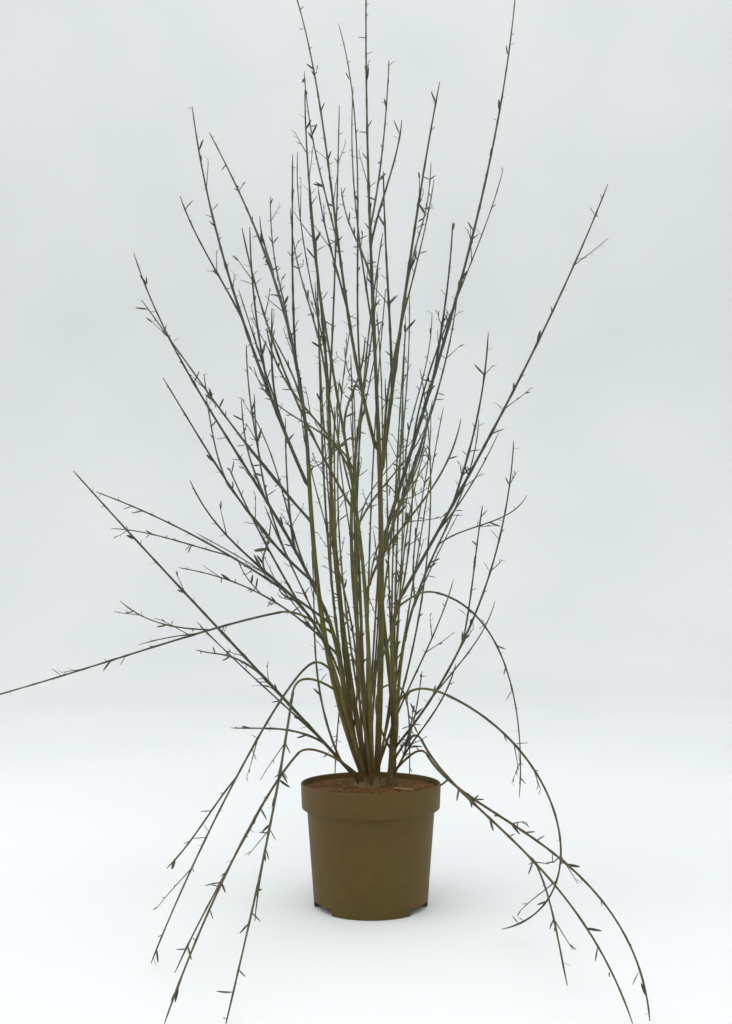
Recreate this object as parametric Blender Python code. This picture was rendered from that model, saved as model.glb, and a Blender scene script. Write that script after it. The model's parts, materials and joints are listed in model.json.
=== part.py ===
"""A potted Spanish broom: a nursery pot, its soil and a many-stemmed, rush-like shrub.

Metres, +Z up. The origin is the middle of the pot's flat underside, and the plant is seen from -Y.
Two low trunks stand on the soil. Boughs rise from them, and thin green wands grow on from the boughs.
Every wand carries small leaves and short twigs, placed by a seeded rule.
"""

import math
import random
from collections import defaultdict, namedtuple

import bmesh
import bpy
from mathutils import Matrix, Quaternion, Vector

# Gaps and small limits
GAP = 0.0003  # between neighbouring solids
CLEARANCE = 0.0022  # kept between the wands, twigs and leaves of different nodes
NEAR_FOOT = 0.035  # a limb may be close to its parent over this first stretch

# Pot: a turned shell with a rim band, a skirt round its raised floor, and four drainage notches
POT_HEIGHT = 0.209
RIM_RADIUS = 0.125
BAND_FOOT_RADIUS = 0.123
BAND_HEIGHT = 0.043
BAND_STEP = 0.0095  # how far the band stands out of the body
STEP_SLOPE = 0.004
BASE_RADIUS = 0.100
WALL = 0.0028
LIP_ROUND = 0.0008
FLOOR_RISE = 0.0115  # the floor's outer ring is this high, so that water drains below it
BOSS_RADIUS = 0.062  # the middle of the floor comes down to the ground
NOTCH_WIDTH = 0.063
NOTCH_HEIGHT = 0.0105
NOTCH_DEPTH = 0.015  # cut this far in from the outside of the base
NOTCH_BEARINGS = (30, 150, 210, 330)
DRAIN_RADIUS = 0.006
DRAIN_PLACE = 0.080  # distance of each drain hole from the pot's axis
DRAIN_SIDES = 12
POT_SIDES = 48
PAST = 0.010  # how far a cutter runs past what it cuts

# Soil: fills the pot to just under its lip, with a low mound where the trunks stand
SOIL_EDGE = 0.1985
SOIL_TOP = 0.2030
MOUND_RADIUS = 0.078

# Trunks: a low crown that most of the boughs stand on, and one upright stem beside it
CROWN_PLACE = Vector((-0.002, 0.0, SOIL_TOP + GAP))
CROWN_LEAN = Vector((0, 0, 0.017))
CROWN_RADIUS = 0.0195
CROWN_FLARE = 0.0265
STEM_PLACE = Vector((0.037, 0.002, SOIL_TOP + GAP))
STEM_LEAN = Vector((0.004, 0.003, 0.094))
STEM_RADIUS = 0.0062
STEM_FLARE = 0.0105
SEAT_RING = 0.0135  # distance from the crown's middle to the boughs round its edge

# Limbs
TRUNK_SIDES = 24
BOUGH_SIDES = 8
LEAST_PIECES = 4  # straight pieces in a limb, with more for each radian that it turns through
PIECES_PER_TURN = 6
WAND_SIDES = 3
ROUND_TO_FLAT = 1.2  # a three-sided wand is as much wider, so that it looks as thick as a round one
WAND_END = 0.0018  # diameter at a wand's tip
FORK_THICK = 0.78  # a fork's foot against the wand it leaves
FORK_LEAN = 0.45  # sideways share of the direction a fork sets off in
# Sideways bows tried in turn until a limb is clear of the others
BOWS = (0, 0.008, -0.008, 0.016, -0.016, 0.026, -0.026, 0.038, -0.038, 0.05, -0.05)

# Leaves and short twigs
LEAF_LENGTH = (0.013, 0.024)
LEAF_WIDTH = 0.24  # share of the length
LEAF_THICK = 0.0009
LEAF_SPREAD = (38, 68)
LEAF_STEP = (0.085, 0.190)
LEAFLESS_FOOT = 0.22  # share of a wand with no leaves
TWIG_CHANCE = 0.16
TWIG_LAST = 0.9  # share of a wand beyond which it has no twigs
TWIG_LENGTH = (0.022, 0.060)
TWIG_THICK = 0.0019
TWIG_SPREAD = (24, 40)
GOLDEN_TURN = math.radians(137.5)
SPRAY_SOLVER = "MANIFOLD"

UP = Vector((0, 0, 1))

# A bough: its name, the limb it grows on and how far along, its tip, the pitch it ends in (degrees
# above the level), its diameters at foot and tip, the angle it leaves at, and its seat on the crown.
Bough = namedtuple("Bough", "name parent place tip pitch thick thin spread seat", defaults=(28, None))

BOUGHS = (
    Bough("bough_centre", "trunk_crown", 1, (0.014, 0.000, 0.855), 87, 0.0115, 0.0080, 3, 20),
    Bough("bough_centre_left", "trunk_crown", 1, (-0.078, 0.060, 0.840), 86, 0.0100, 0.0065, 15, 110),
    Bough("bough_left", "trunk_crown", 1, (-0.113, -0.050, 0.780), 85, 0.0100, 0.0070, 24, 200),
    Bough("bough_far_left", "trunk_crown", 1, (-0.085, 0.040, 0.515), 66, 0.0092, 0.0066, 26, 155),
    Bough("bough_left_low", "trunk_crown", 1, (-0.075, -0.060, 0.440), 60, 0.0090, 0.0060, 26, 240),
    Bough("bough_back", "trunk_crown", 1, (-0.037, 0.170, 0.740), 78, 0.0092, 0.0062, 22, 65),
    Bough("bough_front", "trunk_crown", 1, (-0.015, -0.140, 0.600), 78, 0.0088, 0.0060, 22, 290),
    Bough("bough_right_inner", "trunk_right", 1, (0.036, 0.030, 0.685), 72, 0.0088, 0.0066),
    Bough("bough_right", "trunk_right", 0.86, (0.058, -0.040, 0.545), 60, 0.0076, 0.0054, 20),
    Bough("bough_right_back", "trunk_right", 0.70, (0.066, 0.100, 0.460), 70, 0.0066, 0.0048, 26),
    Bough("arch_left_high", "bough_left_low", 0.86, (-0.098, -0.100, 0.424), -10, 0.0042, 0.0036, 44),
    Bough("arch_left_middle", "bough_left_low", 0.68, (-0.130, -0.150, 0.376), -52, 0.0042, 0.0036, 44),
    Bough("arch_left_low", "trunk_crown", 0.85, (-0.122, -0.120, 0.275), -14, 0.0042, 0.0036, 50),
    Bough("arch_left_wide", "bough_far_left", 0.88, (-0.172, 0.060, 0.512), -11, 0.0044, 0.0038, 44),
    Bough("arch_right_high", "bough_right", 0.92, (0.125, 0.040, 0.548), -10, 0.0040, 0.0034, 50),
    Bough("arch_right_middle", "bough_right", 0.26, (0.127, -0.140, 0.372), -18, 0.0042, 0.0036, 46),
    Bough("arch_right_low", "trunk_right", 0.52, (0.088, -0.070, 0.290), -40, 0.0042, 0.0036, 44),
    Bough("arch_right_front", "trunk_right", 0.30, (0.098, -0.060, 0.264), -36, 0.0042, 0.0036, 50),
    Bough("arch_back_left", "bough_back", 0.30, (-0.040, 0.190, 0.430), -4, 0.0042, 0.0036, 44),
    Bough("arch_back_right", "trunk_right", 0.60, (0.045, 0.180, 0.370), -4, 0.0042, 0.0036, 44),
)

# A spray of wands: as a bough, with the forks that leave its main wand, each with its place along it,
# its tip and the pitch it ends in. A wand that hangs turns down at once where its near pull is short.
Spray = namedtuple("Spray", "name parent place tip pitch thick forks spread near", defaults=((), 26, None))

SPRAYS = (
    Spray("top_centre", "bough_centre", 1, (-0.008, 0.020, 1.790), 91, 0.0060,
          ((0.42, (0.040, 0.140, 1.673), 82), (0.38, (0.057, -0.100, 1.407), 80),
           (0.30, (-0.062, 0.200, 1.420), 74))),
    Spray("top_left", "bough_centre", 0.95, (-0.160, 0.100, 1.810), 72, 0.0060,
          ((0.40, (-0.146, 0.240, 1.710), 80), (0.26, (-0.098, -0.060, 1.300), 78)), 14),
    Spray("top_right", "bough_centre", 0.88, (0.124, -0.140, 1.458), 72, 0.0064,
          ((0.44, (0.134, 0.240, 1.497), 76), (0.20, (0.020, -0.260, 1.230), 80)), 14),
    Spray("inner_left", "bough_centre_left", 1, (-0.117, -0.160, 1.431), 88, 0.0050,
          ((0.10, (-0.064, 0.120, 1.560), 86), (0.16, (-0.175, 0.260, 1.400), 82))),
    Spray("left_tall", "bough_left", 1, (-0.347, 0.200, 1.545), 56, 0.0058,
          ((0.30, (-0.227, 0.330, 1.460), 82), (0.22, (-0.136, -0.180, 1.300), 88),
           (0.46, (-0.226, 0.120, 1.320), 84))),
    Spray("left_outer", "bough_left", 0.94, (-0.339, -0.040, 1.467), 82, 0.0052,
          ((0.42, (-0.334, -0.160, 1.234), 64), (0.16, (-0.165, -0.220, 1.010), 84),
           (0.24, (-0.206, -0.200, 1.160), 84)), 20),
    Spray("left_wide", "bough_left", 0.82, (-0.470, 0.150, 1.152), 50, 0.0044,
          ((0.45, (-0.358, 0.260, 1.026), 62), (0.25, (-0.250, 0.120, 1.050), 82)), 42),
    Spray("left_drift", "bough_left", 0.62, (-0.356, -0.160, 0.908), 56, 0.0042,
          ((0.55, (-0.300, -0.050, 0.900), 66), (0.15, (-0.190, -0.240, 0.860), 84)), 46),
    Spray("left_long", "bough_far_left", 1, (-0.447, -0.020, 1.186), 72, 0.0054,
          ((0.30, (-0.270, 0.210, 0.960), 76), (0.16, (-0.170, 0.120, 0.900), 84))),
    Spray("left_level", "bough_far_left", 0.95, (-0.549, 0.140, 0.753), 20, 0.0042,
          ((0.42, (-0.545, 0.250, 0.690), 4),), 34),
    Spray("left_back_low", "bough_far_left", 0.74, (-0.416, 0.320, 0.612), 8, 0.0038,
          ((0.45, (-0.300, 0.400, 0.640), 30),), 38),
    Spray("left_wide_end", "arch_left_wide", 1, (-0.740, -0.020, 0.345), -14, 0.0036,
          ((0.22, (-0.489, 0.120, 0.535), 36),), 30, 0.25),
    Spray("left_low", "bough_left_low", 1, (-0.273, -0.340, 0.704), 56, 0.0048,
          ((0.24, (-0.243, -0.140, 0.755), 66), (0.50, (-0.150, -0.350, 0.640), 56))),
    Spray("left_long_low", "trunk_crown", 0.60, (-0.522, -0.100, 0.757), 48, 0.0050,
          ((0.34, (-0.342, 0.140, 0.440), 8), (0.12, (-0.262, 0.070, 0.297), 0),
           (0.06, (-0.120, 0.200, 0.640), 70)), 42),
    Spray("basal_left", "trunk_crown", 0.80, (-0.113, 0.160, 1.292), 86, 0.0048,
          ((0.08, (-0.150, 0.260, 0.960), 80), (0.05, (-0.060, -0.240, 0.840), 76),
           (0.14, (-0.190, -0.060, 0.700), 62)), 24),
    Spray("basal_middle", "trunk_crown", 0.80, (0.020, -0.200, 1.150), 86, 0.0046,
          ((0.06, (-0.040, 0.200, 1.120), 86), (0.10, (-0.030, -0.120, 0.900), 84),
           (0.16, (0.070, -0.180, 0.760), 76)), 16),
    Spray("basal_right", "trunk_right", 0.42, (0.082, 0.360, 1.190), 82, 0.0044,
          ((0.08, (0.060, -0.160, 1.000), 86), (0.05, (0.110, 0.160, 0.840), 82),
           (0.12, (0.030, 0.120, 0.980), 86)), 18),
    Spray("hang_left_high", "arch_left_high", 1, (-0.312, -0.345, 0.014), -58, 0.0036,
          ((0.45, (-0.312, -0.250, 0.120), -42),), 30, 0.08),
    Spray("hang_left_middle", "arch_left_middle", 1, (-0.177, -0.548, 0.012), -36, 0.0036,
          ((0.16, (-0.178, -0.240, 0.040), -88),), 30, 0.42),
    Spray("hang_left_low", "arch_left_low", 1, (-0.251, -0.548, 0.012), -46, 0.0036,
          ((0.30, (-0.262, -0.430, 0.030), -50),), 30, 0.24),
    Spray("right_tall", "bough_right_inner", 1, (0.304, 0.100, 1.804), 84, 0.0062,
          ((0.26, (0.150, -0.080, 1.220), 80),)),
    Spray("right_inner", "bough_right_inner", 0.88, (0.194, 0.260, 1.236), 80, 0.0046,
          ((0.22, (0.142, 0.360, 1.195), 84),), 24),
    Spray("right_wide", "bough_right", 1, (0.431, -0.100, 1.284), 68, 0.0050,
          ((0.22, (0.190, -0.250, 0.960), 78),)),
    Spray("right_low", "trunk_right", 0.74, (0.239, -0.180, 0.795), 82, 0.0042,
          ((0.40, (0.200, -0.060, 0.700), 76),), 44),
    Spray("right_back", "bough_right_back", 1, (0.243, 0.340, 0.944), 82, 0.0044,
          ((0.14, (0.139, 0.380, 0.960), 86), (0.40, (0.330, 0.240, 0.760), 62))),
    Spray("right_shoot", "trunk_right", 0.20, (0.136, -0.200, 0.425), 62, 0.0030,
          ((0.20, (0.070, -0.110, 0.340), 72), (0.10, (0.100, 0.120, 0.400), 60)), 38),
    Spray("hang_right_high", "arch_right_high", 1, (0.290, 0.160, 0.154), -98, 0.0034),
    Spray("hang_right_middle", "arch_right_middle", 1, (0.203, -0.205, 0.018), -160, 0.0036, (), 30, 0.66),
    Spray("hang_right_low", "arch_right_low", 1, (0.312, -0.548, 0.012), -60, 0.0038,
          ((0.60, (0.258, -0.430, 0.014), -70),), 30, 0.26),
    Spray("hang_right_front", "arch_right_front", 1, (0.335, -0.540, 0.012), -86, 0.0036, (), 30, 0.26),
    Spray("back_middle", "bough_back", 1, (0.020, 0.430, 1.330), 78, 0.0050,
          ((0.10, (-0.272, 0.440, 1.091), 70), (0.40, (-0.060, 0.480, 1.150), 80),
           (0.20, (-0.150, 0.500, 0.890), 64))),
    Spray("back_right", "bough_back", 0.86, (0.150, 0.480, 1.020), 70, 0.0044,
          ((0.35, (0.090, 0.520, 0.800), 60),)),
    Spray("front_middle", "bough_front", 1, (-0.100, -0.300, 1.187), 84, 0.0050,
          ((0.12, (-0.206, -0.300, 1.116), 76), (0.24, (-0.154, -0.400, 0.920), 74),
           (0.34, (-0.010, -0.420, 0.900), 74))),
    Spray("front_right", "bough_front", 0.86, (0.131, -0.380, 0.789), 70, 0.0042,
          ((0.30, (0.079, -0.420, 0.780), 74),)),
    Spray("hang_back_left", "arch_back_left", 1, (-0.080, 0.480, 0.120), -82, 0.0034, (), 30, 0.20),
    Spray("hang_back_right", "arch_back_right", 1, (0.090, 0.460, 0.080), -82, 0.0034, (), 30, 0.20),
)


class Route:
    """A limb's middle line: points from its foot to its tip, with its direction and radius at each.

    One corner of its foot faces the way given, so that the limb meets its parent by that corner.
    """

    def __init__(self, points, ways, thick, thin, facing):
        self.points = points
        self.ways = ways
        self.facing = facing
        lengths = [(b - a).length for a, b in zip(points, points[1:])]
        self.marks = [sum(lengths[:i]) for i in range(len(points))]
        self.length = self.marks[-1]
        self.radii = [(thick + (thin - thick) * mark / self.length) / 2 for mark in self.marks]

    def spot(self, share):
        """The point, direction and radius at a share of the length."""
        mark = share * self.length
        last = len(self.points) - 2
        index = min(last, sum(1 for m in self.marks[1:] if m < mark))
        start, end = self.points[index], self.points[index + 1]
        part = (mark - self.marks[index]) / (self.marks[index + 1] - self.marks[index])
        radius = self.radii[index] + (self.radii[index + 1] - self.radii[index]) * part
        way = self.ways[index].lerp(self.ways[index + 1], part).normalized()
        return start.lerp(end, part), way, radius

    def balls(self, start=0.0):
        """Balls along the limb from a distance up it, for telling how near another limb comes."""
        count = max(2, round((self.length - start) / 0.004))
        shares = [(start + (self.length - start) * i / count) / self.length for i in range(count + 1)]
        return [(point, radius) for point, _, radius in map(self.spot, shares)]


class Room:
    """The space that the nodes take, as balls filed by the cube that they lie in."""

    CUBE = 0.016

    def __init__(self):
        self.cubes = defaultdict(list)

    def key(self, point):
        return tuple(math.floor(c / self.CUBE) for c in point)

    def take(self, node, balls):
        for point, radius in balls:
            self.cubes[self.key(point)].append((point, radius, node))

    def nearest(self, balls, spared):
        """The least space between these balls and those of nodes that aren't spared."""
        least = self.CUBE
        for point, radius in balls:
            x, y, z = self.key(point)
            for i in (x - 1, x, x + 1):
                for j in (y - 1, y, y + 1):
                    for k in (z - 1, z, z + 1):
                        for other, other_radius, node in self.cubes.get((i, j, k), ()):
                            if node not in spared:
                                space = (point - other).length - radius - other_radius
                                least = min(least, space)
        return least


def curve(foot, setting_off, tip, arriving, bow, near_pull=None):
    """Points and directions of the smooth curve between a foot and a tip with given directions.

    The pulls are those of a circle's arc with the same turn, unless the near one is given.
    """
    across = tip - foot
    turn = max(0.2, setting_off.angle(arriving))
    pull = 2 / 3 * math.tan(turn / 4) / math.sin(turn / 2)
    sideways = across.cross(UP)
    sideways = sideways.normalized() if sideways.length > 0.01 else Vector((1, 0, 0))
    near = foot + setting_off * across.length * (near_pull or pull) + sideways * bow
    far = tip - arriving * across.length * pull + sideways * bow
    count = round(LEAST_PIECES + PIECES_PER_TURN * turn * math.sqrt(across.length))
    points, ways = [], []
    for i in range(count + 1):
        t = i / count
        s = 1 - t
        points.append(foot * s**3 + near * 3 * s * s * t + far * 3 * s * t * t + tip * t**3)
        way = (near - foot) * s * s + (far - near) * 2 * s * t + (tip - far) * t * t
        ways.append(way.normalized())
    ways[0] = setting_off
    return points, ways


def level_way(start, end):
    """The level direction from one point towards another."""
    return Vector((end.x - start.x, end.y - start.y, 0)).normalized()


def arrival(start, end, pitch):
    """The level direction from one point towards another, raised to a pitch."""
    angle = math.radians(pitch)
    return level_way(start, end) * math.cos(angle) + UP * math.sin(angle)


def foot_on_limb(parent, place, tip, radius, spread):
    """Where a limb leaves its parent's side or end, the way it sets off and the way its foot faces."""
    point, along, _ = parent.spot(place)
    if place >= 1:
        return point + along * GAP, along, along.orthogonal()
    side = tip - point
    side = (side - along * side.dot(along)).normalized()
    angle = math.radians(spread)
    heading = along * math.cos(angle) + side * math.sin(angle)
    _, _, parent_radius = parent.spot(min(1, place + radius * math.sin(angle) / parent.length))
    return point + side * (parent_radius + GAP + radius * math.cos(angle)), heading, -side


def foot_on_crown(crown, seat, tip, radius, spread):
    """A seat on the crown's flat top, with a first direction that leans out towards the tip."""
    top = crown.points[-1]
    bearing = math.radians(seat)
    ring = Vector((math.cos(bearing), math.sin(bearing), 0)) * SEAT_RING
    lean = math.radians(spread)
    outwards = level_way(top, tip)
    heading = UP * math.cos(lean) + outwards * math.sin(lean)
    return top + ring + UP * (GAP + radius * math.sin(lean)), heading, outwards


def freest(node, parent, room, make_route):
    """The first of the sideways bows that keeps the limb clear of the others, or else the freest."""
    best, best_space = None, -1.0
    for bow in BOWS:
        route = make_route(bow)
        space = room.nearest(route.balls(NEAR_FOOT), {node})
        space = min(space, room.nearest(route.balls(), {node, parent}))
        if space >= CLEARANCE:
            return route
        if space > best_space:
            best, best_space = route, space
    return best


def bough_route(bough, routes, room):
    """The route of a bough, clear of those before it."""
    tip = Vector(bough.tip)
    parent, radius = routes[bough.parent], bough.thick / 2
    if bough.seat is None:
        foot, heading, facing = foot_on_limb(parent, bough.place, tip, radius, bough.spread)
    else:
        foot, heading, facing = foot_on_crown(parent, bough.seat, tip, radius, bough.spread)
    next_tip = next(Vector(spray.tip) for spray in SPRAYS if spray.parent == bough.name)
    arriving = arrival(tip, next_tip, bough.pitch)

    def bowed(bow):
        return Route(*curve(foot, heading, tip, arriving, bow), bough.thick, bough.thin, facing)

    return freest(bough.name, bough.parent, room, bowed)


def wand_route(spray, routes, room):
    """The route of a spray's main wand, from its bough or trunk."""
    tip = Vector(spray.tip)
    radius = spray.thick / 2 * ROUND_TO_FLAT
    foot, heading, facing = foot_on_limb(routes[spray.parent], spray.place, tip, radius, spray.spread)

    def bowed(bow):
        line = curve(foot, heading, tip, arrival(foot, tip, spray.pitch), bow, spray.near)
        return Route(*line, spray.thick, WAND_END, facing)

    return freest(spray.name, spray.parent, room, bowed)


def fork_route(name, main, fork, room):
    """The route of a fork, which starts inside the main wand."""
    place, tip, pitch = fork
    tip = Vector(tip)
    point, along, radius = main.spot(place)
    side = tip - point
    side = (side - along * side.dot(along)).normalized()
    heading = (along + side * FORK_LEAN).normalized()

    def bowed(bow):
        line = curve(point, heading, tip, arrival(point, tip, pitch), bow)
        return Route(*line, 2 * radius * FORK_THICK, WAND_END, side)

    return freest(name, name, room, bowed)


def clear_scene():
    for thing in list(bpy.data.objects):
        bpy.data.objects.remove(thing)


def material(name, colour, roughness):
    finish = bpy.data.materials.new(name)
    finish.use_nodes = True
    shader = finish.node_tree.nodes["Principled BSDF"]
    shader.inputs["Base Color"].default_value = (*colour, 1)
    shader.inputs["Roughness"].default_value = roughness
    shader.inputs["Metallic"].default_value = 0
    return finish


def new_object(name, bm, finish=None, smooth=False):
    """A mesh object made from a bmesh, which is freed."""
    mesh = bpy.data.meshes.new(name)
    bm.to_mesh(mesh)
    bm.free()
    if smooth:
        mesh.shade_smooth()
        mesh.set_sharp_from_angle(angle=math.radians(35))
    if finish:
        mesh.materials.append(finish)
    made = bpy.data.objects.new(name, mesh)
    bpy.context.scene.collection.objects.link(made)
    return made


def turned(profile, sides):
    """A bmesh turned round Z from an outline of (radius, height) that starts and ends on the axis."""
    bm = bmesh.new()
    points = [bm.verts.new((r, 0, z)) for r, z in profile]
    edges = [bm.edges.new(pair) for pair in zip(points, points[1:])]
    bmesh.ops.spin(bm, geom=points + edges, cent=(0, 0, 0), axis=(0, 0, 1), dvec=(0, 0, 0),
                   angle=2 * math.pi, steps=sides, use_merge=True, use_duplicate=False)
    bmesh.ops.remove_doubles(bm, verts=bm.verts, dist=1e-6)
    bmesh.ops.recalc_face_normals(bm, faces=bm.faces)
    return bm


def boolean(target, operation, operand, solver="EXACT"):
    """Cuts or joins another object, or each object of a collection, and removes what it used."""
    step = target.modifiers.new(operation.lower(), "BOOLEAN")
    step.operation = operation
    step.solver = solver
    others = [operand]
    if isinstance(operand, bpy.types.Collection):
        step.operand_type = "COLLECTION"
        step.collection = operand
        others = list(operand.objects)
    else:
        step.object = operand
    graph = bpy.context.evaluated_depsgraph_get()
    joined = bpy.data.meshes.new_from_object(target.evaluated_get(graph))
    target.modifiers.clear()
    target.data = joined
    for other in others:
        bpy.data.objects.remove(other)


def pot_outline():
    """The pot's outer and inner outlines, each from the axis out to the lip."""
    band_foot = POT_HEIGHT - BAND_HEIGHT
    body_top = band_foot - STEP_SLOPE
    outer = [
        (0, 0),
        (BOSS_RADIUS, 0),
        (BOSS_RADIUS + 0.003, FLOOR_RISE),
        (BASE_RADIUS - WALL, FLOOR_RISE),
        (BASE_RADIUS - WALL, 0),
        (BASE_RADIUS, 0),
        (BAND_FOOT_RADIUS - BAND_STEP, body_top),
        (BAND_FOOT_RADIUS - LIP_ROUND, band_foot),
        (BAND_FOOT_RADIUS, band_foot + 2 * LIP_ROUND),
        (RIM_RADIUS, POT_HEIGHT - 2 * LIP_ROUND),
        (RIM_RADIUS - LIP_ROUND, POT_HEIGHT),
    ]
    inner = [
        (0, WALL),
        (BOSS_RADIUS - WALL, WALL),
        (BOSS_RADIUS, FLOOR_RISE + WALL),
        (BASE_RADIUS + 0.001 - WALL, FLOOR_RISE + WALL),
        (BAND_FOOT_RADIUS - BAND_STEP - WALL, body_top + 0.001),
        (BAND_FOOT_RADIUS - WALL, band_foot + 0.002),
        (RIM_RADIUS - WALL, POT_HEIGHT - LIP_ROUND),
        (RIM_RADIUS - WALL + LIP_ROUND, POT_HEIGHT),
    ]
    return outer, inner


def make_pot(finish):
    """The pot's shell, with its drainage notches and the holes above them."""
    outer, inner = pot_outline()
    pot = new_object("pot", turned(outer + inner[::-1], POT_SIDES), finish)
    for bearing in NOTCH_BEARINGS:
        turn = Matrix.Rotation(math.radians(bearing), 4, "Z")
        notch = bmesh.new()
        size = Matrix.Diagonal((NOTCH_DEPTH * 2, NOTCH_WIDTH, NOTCH_HEIGHT + PAST, 1))
        middle = Matrix.Translation((BASE_RADIUS, 0, (NOTCH_HEIGHT - PAST) / 2))
        bmesh.ops.create_cube(notch, size=1, matrix=turn @ middle @ size)
        boolean(pot, "DIFFERENCE", new_object("notch", notch))
        hole = bmesh.new()
        middle = Matrix.Translation((DRAIN_PLACE, 0, FLOOR_RISE))
        bmesh.ops.create_cone(hole, segments=DRAIN_SIDES, radius1=DRAIN_RADIUS, radius2=DRAIN_RADIUS,
                              depth=PAST, cap_ends=True, matrix=turn @ middle)
        boolean(pot, "DIFFERENCE", new_object("drain", hole))
    pot.data.shade_smooth()
    pot.data.set_sharp_from_angle(angle=math.radians(35))
    return pot


def make_soil(finish):
    """The soil that fills the pot, clear of its walls, with a flat-topped mound."""
    _, inner = pot_outline()
    walls = [(max(0, r - GAP * 1.5), z + GAP) for r, z in inner if z < SOIL_EDGE]
    low, high = inner[-3], inner[-2]
    share = (SOIL_EDGE - low[1]) / (high[1] - low[1])
    edge = low[0] + (high[0] - low[0]) * share - GAP * 1.5
    outline = walls + [(edge, SOIL_EDGE), (MOUND_RADIUS, SOIL_TOP), (0, SOIL_TOP)]
    return new_object("soil", turned(outline, POT_SIDES), finish, smooth=True)


def ring_turns(route):
    """The turn of the ring at each point, square to the line there and with no twist along it."""
    along = route.ways[0]
    corner = (route.facing - along * route.facing.dot(along)).normalized()
    turns = [Matrix((corner.cross(along), corner, along)).transposed().to_quaternion()]
    for way in route.ways[1:]:
        last = turns[-1]
        turns.append((last @ UP).rotation_difference(way) @ last)
    return turns


def tube(route, sides, widen=1.0):
    """A closed cylinder, cut into a ring for each point of the route and bent along it."""
    pieces = len(route.points) - 1
    bm = bmesh.new()
    bmesh.ops.create_cone(bm, segments=sides, radius1=widen, radius2=widen, depth=1, cap_ends=True)
    upright = [edge for edge in bm.edges if abs(edge.verts[0].co.z - edge.verts[1].co.z) > 0.5]
    bmesh.ops.subdivide_edges(bm, edges=upright, cuts=pieces - 1)
    turns = ring_turns(route)
    for vert in bm.verts:
        ring = round((vert.co.z + 0.5) * pieces)
        corner = Vector((vert.co.x, vert.co.y, 0)) * route.radii[ring]
        vert.co = route.points[ring] + turns[ring] @ corner
    return bm


def trunk_route(place, lean, flare, radius):
    """A trunk's line up from its flat cut, which widens to the root flare."""
    shares = (0, 0.15, 0.35, 0.65, 1)
    points = [place + lean * share for share in shares]
    route = Route(points, [UP] * len(shares), 2 * radius, 2 * radius, Vector((0, 1, 0)))
    route.radii = [radius + (flare - radius) * (1 - share) ** 3 for share in shares]
    return route


def side_way(along, turn):
    """A direction square to a line, at a turn round it."""
    return Quaternion(along, turn) @ along.orthogonal().normalized()


def leaf(root, heading, across, length):
    """A slim eight-faced leaf with its root sunk in the wand."""
    bm = bmesh.new()
    width = across * (length * LEAF_WIDTH / 2)
    thick = heading.cross(across) * (LEAF_THICK / 2)
    place = Matrix((width, thick, heading * (length / 2))).transposed().to_4x4()
    place.translation = root + heading * (length / 2)
    bmesh.ops.create_uvsphere(bm, u_segments=4, v_segments=2, radius=1, matrix=place)
    return bm


def leaf_balls(root, heading, length):
    """Balls along a leaf or twig, beyond the part that is sunk in."""
    return [(root + heading * length * share, 0.0015) for share in (0.4, 0.7, 1.0)]


def dress(name, wand, dice, room):
    """Leaves and short twigs in turn round a wand, each left out where another node is too near."""
    made = []
    mark = wand.length * LEAFLESS_FOOT + dice.uniform(0, LEAF_STEP[0])
    turn = dice.uniform(0, 2 * math.pi)
    while mark < wand.length:
        point, along, _ = wand.spot(mark / wand.length)
        side = side_way(along, turn)
        across = along.cross(side)
        length = dice.uniform(*LEAF_LENGTH)
        slant = math.radians(dice.uniform(*LEAF_SPREAD))
        heading = (along * math.cos(slant) + side * math.sin(slant)).normalized()
        if room.nearest(leaf_balls(point, heading, length), {name}) > CLEARANCE:
            made.append(leaf(point, heading, across, length))
            room.take(name, leaf_balls(point, heading, length))
        if dice.random() < TWIG_CHANCE and mark < wand.length * TWIG_LAST:
            made += short_twig(name, point, along, -side, dice, room)
        turn += GOLDEN_TURN
        mark += dice.uniform(*LEAF_STEP)
    return made


def short_twig(name, point, along, side, dice, room):
    """A short twig with a leaf near its end, or nothing where there is no room for it."""
    length = dice.uniform(*TWIG_LENGTH)
    slant = math.radians(dice.uniform(*TWIG_SPREAD))
    heading = (along * math.cos(slant) + side * math.sin(slant)).normalized()
    end = point + heading * length
    balls = leaf_balls(point, heading, length)
    if room.nearest(balls, {name}) < CLEARANCE:
        return []
    room.take(name, balls)
    twig = Route([point, end], [heading, heading], TWIG_THICK, TWIG_THICK * 0.6, side)
    made = [tube(twig, WAND_SIDES, ROUND_TO_FLAT)]
    root = point + heading * length * 0.8
    leaf_heading = (heading + side * 0.7).normalized()
    size = LEAF_LENGTH[0]
    if room.nearest(leaf_balls(root, leaf_heading, size), {name}) > CLEARANCE:
        made.append(leaf(root, leaf_heading, heading.cross(side).normalized(), size))
    return made


def make_spray(spray, wands, room, finish):
    """One node: the main wand with its forks, twigs and leaves joined on."""
    dice = random.Random(spray.name)
    extras = bpy.data.collections.new("extras")
    bpy.context.scene.collection.children.link(extras)
    shapes = [tube(wand, WAND_SIDES, ROUND_TO_FLAT) for wand in wands[1:]]
    for wand in wands:
        shapes += dress(spray.name, wand, dice, room)
    node = new_object(spray.name, tube(wands[0], WAND_SIDES, ROUND_TO_FLAT), finish)
    for shape in shapes:
        extra = new_object("extra", shape)
        bpy.context.scene.collection.objects.unlink(extra)
        extras.objects.link(extra)
    boolean(node, "UNION", extras, SPRAY_SOLVER)
    bpy.data.collections.remove(extras)
    return node


def stand_on_foot(node, foot):
    """Moves a limb's origin to its foot, with its shape where it was."""
    node.data.transform(Matrix.Translation(-foot))
    node.location = foot


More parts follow.
